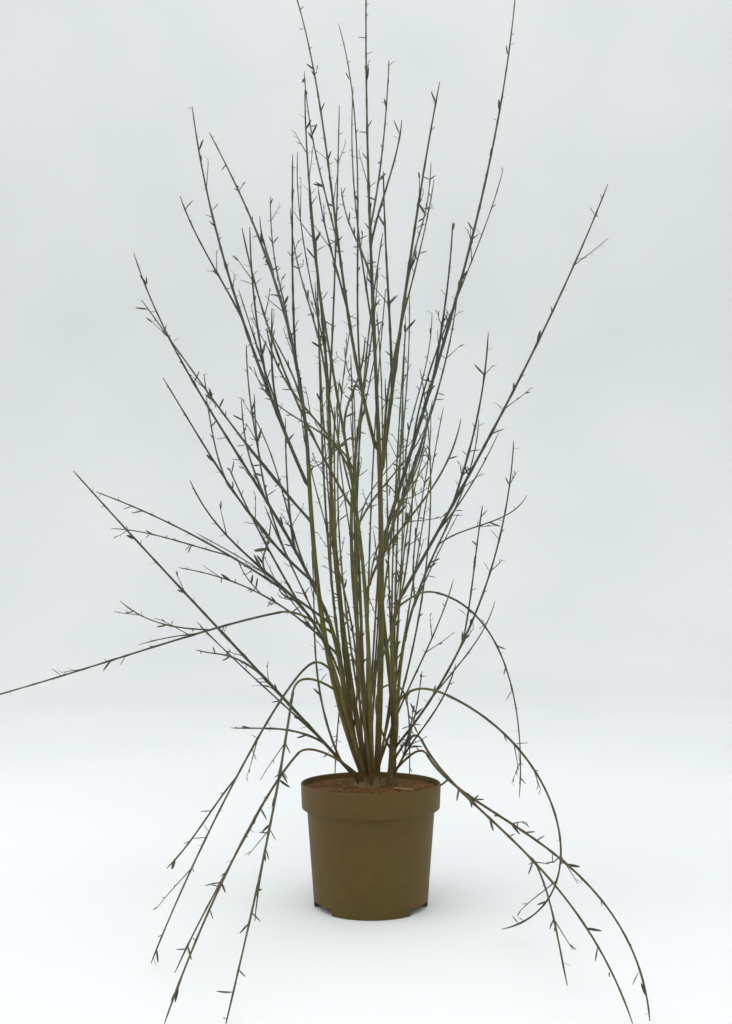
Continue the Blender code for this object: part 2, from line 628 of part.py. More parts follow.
def build():
    clear_scene()
    plastic = material("pot_plastic", (0.102, 0.072, 0.026), 0.55)
    earth = material("soil", (0.095, 0.052, 0.022), 0.95)
    bark = material("olive_bark", (0.145, 0.125, 0.035), 0.7)
    green = material("green_wands", (0.085, 0.100, 0.045), 0.6)
    nodes = [make_pot(plastic), make_soil(earth)]

    room = Room()
    routes = {
        "trunk_crown": trunk_route(CROWN_PLACE, CROWN_LEAN, CROWN_FLARE, CROWN_RADIUS),
        "trunk_right": trunk_route(STEM_PLACE, STEM_LEAN, STEM_FLARE, STEM_RADIUS),
    }
    for name, route in routes.items():
        trunk = new_object(name, tube(route, TRUNK_SIDES), bark, smooth=True)
        stand_on_foot(trunk, route.points[0])
        nodes.append(trunk)
        room.take(name, route.balls())
    for bough in BOUGHS:
        route = bough_route(bough, routes, room)
        routes[bough.name] = route
        room.take(bough.name, route.balls())
        node = new_object(bough.name, tube(route, BOUGH_SIDES), bark, smooth=True)
        stand_on_foot(node, route.points[0])
        nodes.append(node)

    mains = {}
    for spray in SPRAYS:
        mains[spray.name] = wand_route(spray, routes, room)
        room.take(spray.name, mains[spray.name].balls())
    wands = {}
    for spray in SPRAYS:
        main = mains[spray.name]
        forks = [fork_route(spray.name, main, fork, room) for fork in spray.forks]
        for fork in forks:
            room.take(spray.name, fork.balls())
        wands[spray.name] = [main, *forks]
    for spray in SPRAYS:
        node = make_spray(spray, wands[spray.name], room, green)
        stand_on_foot(node, mains[spray.name].points[0])
        nodes.append(node)

    holder = bpy.data.objects.new("potted_spanish_broom", None)
    bpy.context.scene.collection.objects.link(holder)
    for node in nodes:
        node.parent = holder


build()
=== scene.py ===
# %% [markdown]
# # A potted Spanish broom
#
# Spanish broom is a shrub with hardly any leaves: its thin green wands do the work of leaves. This one
# stands in a brown nursery pot. Some wands rise to 1.8 m, and some arch over and hang nearly to the floor.
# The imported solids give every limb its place. This script follows the same tables and the same seeded
# rule as the solids, so each round, ribbed wand lies where its plain solid lies.

import json
import math
import random
from collections import defaultdict, namedtuple

import bmesh
import bpy
from mathutils import Matrix, Quaternion, Vector, noise

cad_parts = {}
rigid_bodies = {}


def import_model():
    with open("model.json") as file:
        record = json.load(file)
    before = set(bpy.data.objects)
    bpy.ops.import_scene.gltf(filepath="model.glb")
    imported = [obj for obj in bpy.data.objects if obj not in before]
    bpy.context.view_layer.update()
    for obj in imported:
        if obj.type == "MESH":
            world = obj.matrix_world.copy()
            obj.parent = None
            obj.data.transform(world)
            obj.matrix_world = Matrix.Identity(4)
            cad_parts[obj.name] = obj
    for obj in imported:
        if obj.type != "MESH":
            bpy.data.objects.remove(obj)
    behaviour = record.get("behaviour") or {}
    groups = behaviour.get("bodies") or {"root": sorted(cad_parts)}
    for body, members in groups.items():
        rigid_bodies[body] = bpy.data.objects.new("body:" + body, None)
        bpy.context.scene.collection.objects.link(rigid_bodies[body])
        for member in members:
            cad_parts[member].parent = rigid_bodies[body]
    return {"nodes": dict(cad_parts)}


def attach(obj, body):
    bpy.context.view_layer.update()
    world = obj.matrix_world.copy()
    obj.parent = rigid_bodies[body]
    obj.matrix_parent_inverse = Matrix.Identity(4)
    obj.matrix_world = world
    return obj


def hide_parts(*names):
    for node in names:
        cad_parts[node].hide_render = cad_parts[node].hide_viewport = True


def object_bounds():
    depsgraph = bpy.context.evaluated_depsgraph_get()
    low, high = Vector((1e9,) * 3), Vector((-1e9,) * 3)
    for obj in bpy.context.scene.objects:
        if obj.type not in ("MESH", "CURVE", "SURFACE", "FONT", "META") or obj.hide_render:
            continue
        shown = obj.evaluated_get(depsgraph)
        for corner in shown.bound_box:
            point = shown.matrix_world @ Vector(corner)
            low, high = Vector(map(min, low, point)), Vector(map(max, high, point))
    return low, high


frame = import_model()
cad_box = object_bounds()
print("solids loaded:", len(frame["nodes"]))

# %% [markdown]
# ## The camera
#
# The camera comes first, because every later look at the plant depends on it. It stands 1.77 m in front
# of the pot at half a metre up and is tilted a little upwards, as the ellipse of the pot's rim and the
# lean of its sides show. A level camera with a shift would give the same middle, but not the same lean.

# %% Camera
FRAME_TALL = 1024  # pixels
FOCAL_PIXELS = 964.8
SENSOR = 36.0
CAMERA_PLACE = (-0.0086, -1.772, 0.4876)
CAMERA_TILT = 0.117  # radians above the level

camera_data = bpy.data.cameras.new("studio_camera")
camera_data.sensor_width = SENSOR
camera_data.lens = FOCAL_PIXELS / FRAME_TALL * SENSOR
camera = bpy.data.objects.new("studio_camera", camera_data)
camera.location = CAMERA_PLACE
camera.rotation_euler = (math.pi / 2 + CAMERA_TILT, 0, 0)
bpy.context.scene.collection.objects.link(camera)
bpy.context.scene.camera = camera
print("lens", round(camera_data.lens, 2), "mm")

# %% [markdown]
# ## Tools for finishes
#
# Each finish is a small tree of nodes on the surface's own coordinates, so it stays put when the view
# changes. A painted picture would do as well, but nodes keep the grain sharp at any distance. Nearly
# every finish here is a noise turned to colours by a ramp, toned by another noise, with a fine bump.

# %% Start a finish
def new_finish(name, roughness, gloss=0.25):
    """A Principled material, with its tree and its shader."""
    finish = bpy.data.materials.new(name)
    finish.use_nodes = True
    tree = finish.node_tree
    shader = tree.nodes["Principled BSDF"]
    shader.inputs["Roughness"].default_value = roughness
    shader.inputs["Metallic"].default_value = 0
    shader.inputs["Specular IOR Level"].default_value = gloss
    return finish, tree, shader


# %% Noise turned to colours
def grain(tree, scale, detail=4.0, stretch=(1, 1, 1)):
    """Noise on object coordinates, drawn out along an axis whose stretch is below one."""
    place = tree.nodes.new("ShaderNodeTexCoord")
    mapping = tree.nodes.new("ShaderNodeMapping")
    mapping.inputs["Scale"].default_value = stretch
    tree.links.new(place.outputs["Object"], mapping.inputs["Vector"])
    speckle = tree.nodes.new("ShaderNodeTexNoise")
    speckle.inputs["Scale"].default_value = scale
    speckle.inputs["Detail"].default_value = detail
    tree.links.new(mapping.outputs["Vector"], speckle.inputs["Vector"])
    return speckle.outputs["Fac"]


def ramp(tree, value, stops):
    """A colour ramp with stops of (position, colour)."""
    node = tree.nodes.new("ShaderNodeValToRGB")
    elements = node.color_ramp.elements
    while len(elements) < len(stops):
        elements.new(0.5)
    for element, (position, colour) in zip(elements, stops):
        element.position = position
        element.color = (*colour, 1)
    tree.links.new(value, node.inputs["Fac"])
    return node.outputs["Color"]


def spread_over(tree, value, sides):
    """A value mapped with the given settings of a Map Range node."""
    node = tree.nodes.new("ShaderNodeMapRange")
    for side, amount in sides.items():
        node.inputs[side].default_value = amount
    tree.links.new(value, node.inputs["Value"])
    return node.outputs["Result"]


# %% Tone and bump
FIRST_COLOUR, SECOND_COLOUR, MIXED_COLOUR = 6, 7, 2  # the colour sockets of a Mix node


def toned(tree, shader, colour, tone):
    """Gives the shader a colour multiplied by a tone."""
    node = tree.nodes.new("ShaderNodeMix")
    node.data_type = "RGBA"
    node.blend_type = "MULTIPLY"
    node.inputs["Factor"].default_value = 1.0
    tree.links.new(colour, node.inputs[FIRST_COLOUR])
    tree.links.new(tone, node.inputs[SECOND_COLOUR])
    tree.links.new(node.outputs[MIXED_COLOUR], shader.inputs["Base Color"])


def bump(tree, shader, height, strength, distance):
    """A bump from a height, with its depth in metres."""
    node = tree.nodes.new("ShaderNodeBump")
    node.inputs["Strength"].default_value = strength
    node.inputs["Distance"].default_value = distance
    tree.links.new(height, node.inputs["Height"])
    tree.links.new(node.outputs["Normal"], shader.inputs["Normal"])


# %% [markdown]
# ## Rind
#
# The rind is brown at the soil, olive above it and a dull grey-green at the wands' ends. One colour for
# each piece would show a seam where a wand leaves its bough, so the colour follows the height instead.
# A noise drawn out along the stems gives the long streaks, and a finer one the grooves between ribs.

# %% Three rinds
RIND_LOW, RIND_HIGH = 0.20, 1.20  # heights between which the rind changes
STREAK_GRAIN, STREAK_STRETCH = 160.0, (1, 1, 0.12)
GROOVE_GRAIN, GROOVE_STRETCH = 900.0, (1, 1, 0.05)


def rind(name, foot, middle, top, change=0.22):
    """Living rind, coloured by its height, with long pale and dark streaks and fine grooves."""
    finish, tree, shader = new_finish(name, 0.55)
    place = tree.nodes.new("ShaderNodeTexCoord")
    split = tree.nodes.new("ShaderNodeSeparateXYZ")
    tree.links.new(place.outputs["Object"], split.inputs["Vector"])
    rise = spread_over(tree, split.outputs["Z"], {"From Min": RIND_LOW, "From Max": RIND_HIGH})
    by_height = ramp(tree, rise, ((0.02, foot), (change, middle), (0.90, top)))
    streaks = grain(tree, STREAK_GRAIN, stretch=STREAK_STRETCH)
    tone = ramp(tree, streaks, ((0.30, (0.62, 0.62, 0.60)), (0.72, (1.25, 1.25, 1.20))))
    toned(tree, shader, by_height, tone)
    bump(tree, shader, grain(tree, GROOVE_GRAIN, 2.0, GROOVE_STRETCH), 0.35, 0.0004)
    return finish


olive_rind = rind("olive_rind", (0.120, 0.078, 0.024), (0.106, 0.094, 0.021), (0.084, 0.082, 0.025))
thin_rind = rind("grey_green_rind", (0.080, 0.064, 0.028), (0.058, 0.062, 0.036), (0.050, 0.056, 0.042))
fresh_rind = rind("olive_green_rind", (0.095, 0.066, 0.022), (0.086, 0.080, 0.024),
                  (0.060, 0.062, 0.032), 0.50)
print("rinds between", RIND_LOW, "and", RIND_HIGH, "m")

# %% [markdown]
# ## Leaf and compost
#
# The leaves are a dark green, a little paler in patches. The compost is moist and dark, with red-brown
# fibres among its crumbs. Crumbs could be many small solids, but a noise with much detail and a deep
# bump looks the same from where a pot is seen, and costs nothing.

# %% Leaf green
leaf_green, tree, shader = new_finish("broom_leaf", 0.5)
patches = ramp(tree, grain(tree, 60.0), ((0.35, (0.034, 0.042, 0.030)), (0.70, (0.060, 0.068, 0.042))))
tree.links.new(patches, shader.inputs["Base Color"])
bump(tree, shader, grain(tree, 700.0), 0.2, 0.0003)
print("leaf finish:", leaf_green.name)

# %% Moist compost
compost, tree, shader = new_finish("moist_compost", 0.92, 0.12)
crumbs = grain(tree, 220.0, 8.0)
toned(tree, shader,
      ramp(tree, crumbs, ((0.35, (0.052, 0.030, 0.009)), (0.65, (0.150, 0.082, 0.022)))),
      ramp(tree, grain(tree, 26.0, 3.0), ((0.40, (0.8, 0.8, 0.8)), (0.66, (1.25, 1.10, 0.9)))))
bump(tree, shader, crumbs, 0.9, 0.004)
print("compost finish:", compost.name)

# %% [markdown]
# ## Pot plastic
#
# The pot is matt brown plastic, a little more olive in broad patches. Moulded plastic has no grain of
# its own, so what shows is dust and scuffs: the same noise pales the colour and dulls the gloss.

# %% Brown plastic
plastic, tree, shader = new_finish("brown_pot_plastic", 0.55, 0.20)
dust = grain(tree, 60.0, 8.0)
toned(tree, shader,
      ramp(tree, grain(tree, 6.0, 3.0), ((0.32, (0.094, 0.055, 0.013)), (0.68, (0.098, 0.066, 0.014)))),
      ramp(tree, dust, ((0.42, (0.96, 0.96, 0.96)), (0.78, (1.10, 1.11, 1.20)))))
dulled = spread_over(tree, dust, {"To Min": 0.48, "To Max": 0.68})
tree.links.new(dulled, shader.inputs["Roughness"])
bump(tree, shader, grain(tree, 1200.0, 2.0), 0.15, 0.0002)
print("pot finish:", plastic.name)

# %% [markdown]
# ## The pot
#
# A nursery pot is moulded thin plastic: a rim band that stands out of a tapering body, and a raised
# floor with notches at its foot, so that water gets away. It could be built up from cylinders, but one
# outline spun round the axis gives the wall, lip and floor together. The notches are cut afterwards.

# %% Sizes of the pot
# Pot: a turned shell with a rim band, a skirt round its raised floor, and four drainage notches
POT_HEIGHT = 0.209
RIM_RADIUS = 0.125
BAND_FOOT_RADIUS = 0.123
BAND_HEIGHT = 0.043
BAND_STEP = 0.0095  # how far the band stands out of the body
STEP_SLOPE = 0.004
BASE_RADIUS = 0.100
WALL = 0.0028
LIP_ROUND = 0.0008
FLOOR_RISE = 0.0115  # the floor's outer ring is this high, so that water drains below it
BOSS_RADIUS = 0.062  # the middle of the floor comes down to the ground
NOTCH_WIDTH = 0.063
NOTCH_HEIGHT = 0.0105
NOTCH_DEPTH = 0.015  # cut this far in from the outside of the base
NOTCH_BEARINGS = (30, 150, 210, 330)
DRAIN_RADIUS = 0.006
DRAIN_PLACE = 0.080  # distance of each drain hole from the pot's axis
DRAIN_SIDES = 12
PAST = 0.010  # how far a cutter runs past what it cuts
TURNING_STEPS = 144
LIP_STEPS = 3
LIP_BEVEL = 0.0005
BEND_ANGLE = math.radians(25)  # rings that bend more than this are rounded
print("pot", RIM_RADIUS * 2, "m across")

# %% Helpers for pieces
SHARP_ANGLE = math.radians(38)


def new_mesh(name, bm):
    """A mesh made from a bmesh, which is freed."""
    mesh = bpy.data.meshes.new(name)
    bm.to_mesh(mesh)
    bm.free()
    return mesh


def new_object(name, bm, finish=None):
    """A smooth object made from a bmesh, with its corners kept sharp."""
    mesh = new_mesh(name, bm)
    mesh.shade_smooth()
    mesh.set_sharp_from_angle(angle=SHARP_ANGLE)
    if finish:
        mesh.materials.append(finish)
    made = bpy.data.objects.new(name, mesh)
    bpy.context.scene.collection.objects.link(made)
    return made


def turned(profile, sides):
    """A bmesh turned round Z from an outline of (radius, height) that starts and ends on the axis."""
    bm = bmesh.new()
    points = [bm.verts.new((r, 0, z)) for r, z in profile]
    edges = [bm.edges.new(pair) for pair in zip(points, points[1:])]
    bmesh.ops.spin(bm, geom=points + edges, cent=(0, 0, 0), axis=(0, 0, 1), dvec=(0, 0, 0),
                   angle=2 * math.pi, steps=sides, use_merge=True, use_duplicate=False)
    bmesh.ops.remove_doubles(bm, verts=bm.verts, dist=1e-6)
    bmesh.ops.recalc_face_normals(bm, faces=bm.faces)
    return bm


def cut(target, bm):
    """Takes a shape out of a piece with a Boolean, which is applied at once."""
    cutter = bpy.data.objects.new("cutter", new_mesh("cutter", bm))
    bpy.context.scene.collection.objects.link(cutter)
    step = target.modifiers.new("cut", "BOOLEAN")
    step.operation = "DIFFERENCE"
    step.solver = "EXACT"
    step.object = cutter
    graph = bpy.context.evaluated_depsgraph_get()
    joined = bpy.data.meshes.new_from_object(target.evaluated_get(graph))
    target.modifiers.clear()
    target.data = joined
    bpy.data.objects.remove(cutter)


# %% Spin the pot
def pot_outline():
    """The pot's outer and inner outlines, each from the axis out to the lip."""
    band_foot = POT_HEIGHT - BAND_HEIGHT
    body_top = band_foot - STEP_SLOPE
    outer = [
        (0, 0),
        (BOSS_RADIUS, 0),
        (BOSS_RADIUS + 0.003, FLOOR_RISE),
        (BASE_RADIUS - WALL, FLOOR_RISE),
        (BASE_RADIUS - WALL, 0),
        (BASE_RADIUS, 0),
        (BAND_FOOT_RADIUS - BAND_STEP, body_top),
        (BAND_FOOT_RADIUS - LIP_ROUND, band_foot),
        (BAND_FOOT_RADIUS, band_foot + 2 * LIP_ROUND),
        (RIM_RADIUS, POT_HEIGHT - 2 * LIP_ROUND),
        (RIM_RADIUS - LIP_ROUND, POT_HEIGHT),
    ]
    inner = [
        (0, WALL),
        (BOSS_RADIUS - WALL, WALL),
        (BOSS_RADIUS, FLOOR_RISE + WALL),
        (BASE_RADIUS + 0.001 - WALL, FLOOR_RISE + WALL),
        (BAND_FOOT_RADIUS - BAND_STEP - WALL, body_top + 0.001),
        (BAND_FOOT_RADIUS - WALL, band_foot + 0.002),
        (RIM_RADIUS - WALL, POT_HEIGHT - LIP_ROUND),
        (RIM_RADIUS - WALL + LIP_ROUND, POT_HEIGHT),
    ]
    return outer, inner


outer, inner = pot_outline()
pot_shell = turned(outer + inner[::-1], TURNING_STEPS)
bends = [edge for edge in pot_shell.edges if edge.is_manifold and edge.calc_face_angle() > BEND_ANGLE
         and abs(edge.verts[0].co.z - edge.verts[1].co.z) < 1e-5]
bmesh.ops.bevel(pot_shell, geom=bends, offset=LIP_BEVEL, segments=LIP_STEPS, profile=0.5, affect="EDGES",
                clamp_overlap=True, material=-1)
bmesh.ops.recalc_face_normals(pot_shell, faces=pot_shell.faces)
pot = new_object("nursery_pot", pot_shell, plastic)
print("rings rounded:", len(bends) // TURNING_STEPS)

# %% Cut the notches and drain holes
for bearing in NOTCH_BEARINGS:
    turn = Matrix.Rotation(math.radians(bearing), 4, "Z")
    notch = bmesh.new()
    size = Matrix.Diagonal((NOTCH_DEPTH * 2, NOTCH_WIDTH, NOTCH_HEIGHT + PAST, 1))
    middle = Matrix.Translation((BASE_RADIUS, 0, (NOTCH_HEIGHT - PAST) / 2))
    bmesh.ops.create_cube(notch, size=1, matrix=turn @ middle @ size)
    cut(pot, notch)
    hole = bmesh.new()
    middle = Matrix.Translation((DRAIN_PLACE, 0, FLOOR_RISE))
    bmesh.ops.create_cone(hole, segments=DRAIN_SIDES * 2, radius1=DRAIN_RADIUS, radius2=DRAIN_RADIUS,
                          depth=PAST, cap_ends=True, matrix=turn @ middle)
    cut(pot, hole)
pot.data.shade_smooth()
pot.data.set_sharp_from_angle(angle=SHARP_ANGLE)
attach(pot, "root")
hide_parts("pot")
print("pot faces:", len(pot.data.polygons))

# %% [markdown]
# ## The compost
#
# The pot is filled nearly to its lip with loose, reddish compost that rises a little at the stems.
# A bump alone would leave the line at the rim too straight, so the surface itself is uneven. Below it a
# plain body fills the pot, because some of it shows through the drain holes.

# %% Height of the compost
GAP = 0.0003  # between neighbouring solids
# Soil: fills the pot to just under its lip, with a low mound where the trunks stand
SOIL_EDGE = 0.1985
SOIL_TOP = 0.2030
CRUMB_HEIGHT = 0.0022
LUMP_SCALE, LUMP_SEED = 28, 1.7
CRUMB_SCALE, CRUMB_SEED = 120, 4.1
EDGE_FADE, EDGE_LEVEL = 6, 1.02  # how fast the lumps die away towards the wall, and where they end


def soil_height(x, y):
    """The compost's surface: a low mound with lumps and crumbs, level at the pot's wall."""
    reach = math.hypot(x, y) / RIM_RADIUS
    mound = SOIL_EDGE + (SOIL_TOP - SOIL_EDGE) * max(0.0, 1 - reach) ** 0.5
    lumps = noise.noise(Vector((x * LUMP_SCALE, y * LUMP_SCALE, LUMP_SEED))) * CRUMB_HEIGHT
    crumbs = noise.noise(Vector((x * CRUMB_SCALE, y * CRUMB_SCALE, CRUMB_SEED))) * CRUMB_HEIGHT * 0.5
    return mound + (lumps + crumbs) * min(1.0, (EDGE_LEVEL - reach) * EDGE_FADE)


print("compost at the middle:", round(soil_height(0, 0), 4))

# %% Uneven top
SOIL_RINGS = 22
SOIL_SEGMENTS = 96
SKIRT_DEPTH = 0.008
SKIRT_SHARE = 0.98
WALL_GAP = 0.0012  # between the compost's top and the pot's wall

edge_radius = RIM_RADIUS - WALL - WALL_GAP
soil_bm = bmesh.new()
bmesh.ops.create_circle(soil_bm, cap_ends=True, cap_tris=True, segments=SOIL_SEGMENTS, radius=edge_radius)
spokes = [edge for edge in soil_bm.edges if not edge.is_boundary]
bmesh.ops.subdivide_edges(soil_bm, edges=spokes, cuts=SOIL_RINGS, use_grid_fill=True)
skirt = bmesh.ops.extrude_face_region(soil_bm, geom=list(soil_bm.faces))
below = [part for part in skirt["geom"] if isinstance(part, bmesh.types.BMVert)]
for vert in soil_bm.verts:
    vert.co.z = soil_height(vert.co.x, vert.co.y)
for vert in below:
    vert.co = (vert.co.x * SKIRT_SHARE, vert.co.y * SKIRT_SHARE, SOIL_EDGE - SKIRT_DEPTH)
bmesh.ops.recalc_face_normals(soil_bm, faces=soil_bm.faces)
soil_top = new_object("compost_top", soil_bm, compost)
print("compost top faces:", len(soil_top.data.polygons))

# %% Body of the compost
BRIM = SOIL_EDGE - 0.004
SIDE_GAP = GAP * 1.5

walls = [(max(0, r - SIDE_GAP), z + GAP) for r, z in inner if z < SOIL_EDGE - 0.012]
low_ring, high_ring = inner[-3], inner[-2]
share = (BRIM - low_ring[1]) / (high_ring[1] - low_ring[1])
brim_radius = low_ring[0] + (high_ring[0] - low_ring[0]) * share - SIDE_GAP
body_bm = turned(walls + [(brim_radius, BRIM), (0, BRIM)], SOIL_SEGMENTS)
compost_body = new_object("compost_body", body_bm, compost)
for piece in (soil_top, compost_body):
    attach(piece, "root")
    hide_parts("soil")
print("compost body faces:", len(compost_body.data.polygons))

# %% [markdown]
# ## Bark bits and a straw
#
# Bits of bark and one dry straw lie on the compost. They could be part of its noise, but loose bits catch
# the light by their own edges. One rough lump is made once, and copies of it are flattened, turned, strewn
# by seeded dice and joined into one piece.

# %% Helpers for many small parts
def join_as(name, objects, finish):
    """Joins objects into one mesh, whose object is left at the origin."""
    first = objects[0]
    with bpy.context.temp_override(active_object=first, object=first, selected_objects=objects,
                                   selected_editable_objects=objects):
        bpy.ops.object.join()
    first.data.transform(first.matrix_world)
    first.matrix_world = Matrix.Identity(4)
    first.name = name
    first.data.name = name
    first.data.materials.clear()
    first.data.materials.append(finish)
    return first


def copy_of(mesh, place):
    """Another object on the same mesh, placed by a matrix."""
    made = bpy.data.objects.new("bit", mesh)
    made.matrix_world = place
    bpy.context.scene.collection.objects.link(made)
    return made


def chip_finish(name, dark, light):
    """Dry fibres, from dark to light."""
    finish, tree, shader = new_finish(name, 0.85)
    fibres = grain(tree, 260.0, 5.0, (1, 1, 0.3))
    tree.links.new(ramp(tree, fibres, ((0.35, dark), (0.68, light))), shader.inputs["Base Color"])
    bump(tree, shader, fibres, 0.6, 0.0008)
    return finish


# %% Bits of bark
CHIP_COUNT = 260
CHIP_SIZES = ((0.003, 0.009), (0.002, 0.005), (0.0012, 0.0026))  # least and most, along each axis
CHIP_ROUGHNESS, CHIP_GRAIN = 0.45, 3.1
CHIP_TILT = (-0.4, 0.4)
CHIP_LIFT = 0.0004
STREWN_SHARE = 0.96  # no chip lies beyond this share of the compost's radius

chip_bm = bmesh.new()
bmesh.ops.create_icosphere(chip_bm, subdivisions=1, radius=0.5)
for vert in chip_bm.verts:
    vert.co *= 1 + CHIP_ROUGHNESS * noise.noise(vert.co * CHIP_GRAIN)
chip_mesh = new_mesh("chip", chip_bm)

dice = random.Random("bark bits")
chips = []
for _ in range(CHIP_COUNT):
    out = edge_radius * STREWN_SHARE * math.sqrt(dice.random())
    bearing = dice.uniform(0, 2 * math.pi)
    x, y = out * math.cos(bearing), out * math.sin(bearing)
    size = Matrix.Diagonal([dice.uniform(*sizes) for sizes in CHIP_SIZES] + [1])
    turn = Matrix.Rotation(dice.uniform(0, math.pi), 4, "Z")
    tilt = Matrix.Rotation(dice.uniform(*CHIP_TILT), 4, "X")
    place = Matrix.Translation((x, y, soil_height(x, y) + CHIP_LIFT))
    chips.append(copy_of(chip_mesh, place @ (turn @ tilt) @ size))
bark_red = chip_finish("red_bark_bits", (0.090, 0.038, 0.014), (0.210, 0.095, 0.036))
bark_bits = join_as("bark_bits", chips, bark_red)
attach(bark_bits, "root")
print("bits of bark:", len(chips))

# %% A dry straw
STRAW_PLACE = (0.058, -0.050, 0.2055)
STRAW_BEARING, STRAW_LEAN = math.radians(-38), math.radians(88)
STRAW_LENGTH, STRAW_FOOT, STRAW_TIP = 0.040, 0.0013, 0.0009
STRAW_SIDES = 10

lie = (Matrix.Translation(STRAW_PLACE) @ Matrix.Rotation(STRAW_BEARING, 4, "Z")
       @ Matrix.Rotation(STRAW_LEAN, 4, "Y"))
straw_bm = bmesh.new()
bmesh.ops.create_cone(straw_bm, segments=STRAW_SIDES, radius1=STRAW_FOOT, radius2=STRAW_TIP,
                      depth=STRAW_LENGTH, cap_ends=True, matrix=lie)
straw_pale = chip_finish("pale_straw", (0.230, 0.170, 0.085), (0.360, 0.280, 0.160))
straw = new_object("dry_straw", straw_bm, straw_pale)
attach(straw, "root")
print("straw", STRAW_LENGTH, "m long")

# %% [markdown]
# ## The plan of the limbs
#
# The shrub has a low crown and one upright stem on the soil. Boughs stand on them, and each bough or
# trunk carries sprays of wands. Every limb is a smooth curve that starts in one direction and arrives
# in another, which is how a growing or drooping stem lies. Drawing each by hand would give the same
# lines, but a table of tips and angles is far shorter and easier to correct.

# %% The trunks
# Trunks: a low crown that most of the boughs stand on, and one upright stem beside it
CROWN_PLACE = Vector((-0.002, 0.0, SOIL_TOP + GAP))
CROWN_LEAN = Vector((0, 0, 0.017))
CROWN_RADIUS = 0.0195
CROWN_FLARE = 0.0265
STEM_PLACE = Vector((0.037, 0.002, SOIL_TOP + GAP))
STEM_LEAN = Vector((0.004, 0.003, 0.094))
STEM_RADIUS = 0.0062
STEM_FLARE = 0.0105
SEAT_RING = 0.0135  # distance from the crown's middle to the boughs round its edge
print("crown", CROWN_RADIUS * 2, "m across, upright stem", STEM_RADIUS * 2, "m")

# %% The boughs
# A bough: its name, the limb it grows on and how far along, its tip, the pitch it ends in (degrees
# above the level), its diameters at foot and tip, the angle it leaves at, and its seat on the crown.
Bough = namedtuple("Bough", "name parent place tip pitch thick thin spread seat", defaults=(28, None))

BOUGHS = (
    Bough("bough_centre", "trunk_crown", 1, (0.014, 0.000, 0.855), 87, 0.0115, 0.0080, 3, 20),
    Bough("bough_centre_left", "trunk_crown", 1, (-0.078, 0.060, 0.840), 86, 0.0100, 0.0065, 15, 110),
    Bough("bough_left", "trunk_crown", 1, (-0.113, -0.050, 0.780), 85, 0.0100, 0.0070, 24, 200),
    Bough("bough_far_left", "trunk_crown", 1, (-0.085, 0.040, 0.515), 66, 0.0092, 0.0066, 26, 155),
    Bough("bough_left_low", "trunk_crown", 1, (-0.075, -0.060, 0.440), 60, 0.0090, 0.0060, 26, 240),
    Bough("bough_back", "trunk_crown", 1, (-0.037, 0.170, 0.740), 78, 0.0092, 0.0062, 22, 65),
    Bough("bough_front", "trunk_crown", 1, (-0.015, -0.140, 0.600), 78, 0.0088, 0.0060, 22, 290),
    Bough("bough_right_inner", "trunk_right", 1, (0.036, 0.030, 0.685), 72, 0.0088, 0.0066),
    Bough("bough_right", "trunk_right", 0.86, (0.058, -0.040, 0.545), 60, 0.0076, 0.0054, 20),
    Bough("bough_right_back", "trunk_right", 0.70, (0.066, 0.100, 0.460), 70, 0.0066, 0.0048, 26),
    Bough("arch_left_high", "bough_left_low", 0.86, (-0.098, -0.100, 0.424), -10, 0.0042, 0.0036, 44),
    Bough("arch_left_middle", "bough_left_low", 0.68, (-0.130, -0.150, 0.376), -52, 0.0042, 0.0036, 44),
    Bough("arch_left_low", "trunk_crown", 0.85, (-0.122, -0.120, 0.275), -14, 0.0042, 0.0036, 50),
    Bough("arch_left_wide", "bough_far_left", 0.88, (-0.172, 0.060, 0.512), -11, 0.0044, 0.0038, 44),
    Bough("arch_right_high", "bough_right", 0.92, (0.125, 0.040, 0.548), -10, 0.0040, 0.0034, 50),
    Bough("arch_right_middle", "bough_right", 0.26, (0.127, -0.140, 0.372), -18, 0.0042, 0.0036, 46),
    Bough("arch_right_low", "trunk_right", 0.52, (0.088, -0.070, 0.290), -40, 0.0042, 0.0036, 44),
    Bough("arch_right_front", "trunk_right", 0.30, (0.098, -0.060, 0.264), -36, 0.0042, 0.0036, 50),
    Bough("arch_back_left", "bough_back", 0.30, (-0.040, 0.190, 0.430), -4, 0.0042, 0.0036, 44),
    Bough("arch_back_right", "trunk_right", 0.60, (0.045, 0.180, 0.370), -4, 0.0042, 0.0036, 44),
)
print("boughs:", len(BOUGHS))

# %% The sprays of wands
# A spray of wands: as a bough, with the forks that leave its main wand, each with its place along it,
# its tip and the pitch it ends in. A wand that hangs turns down at once where its near pull is short.
Spray = namedtuple("Spray", "name parent place tip pitch thick forks spread near", defaults=((), 26, None))

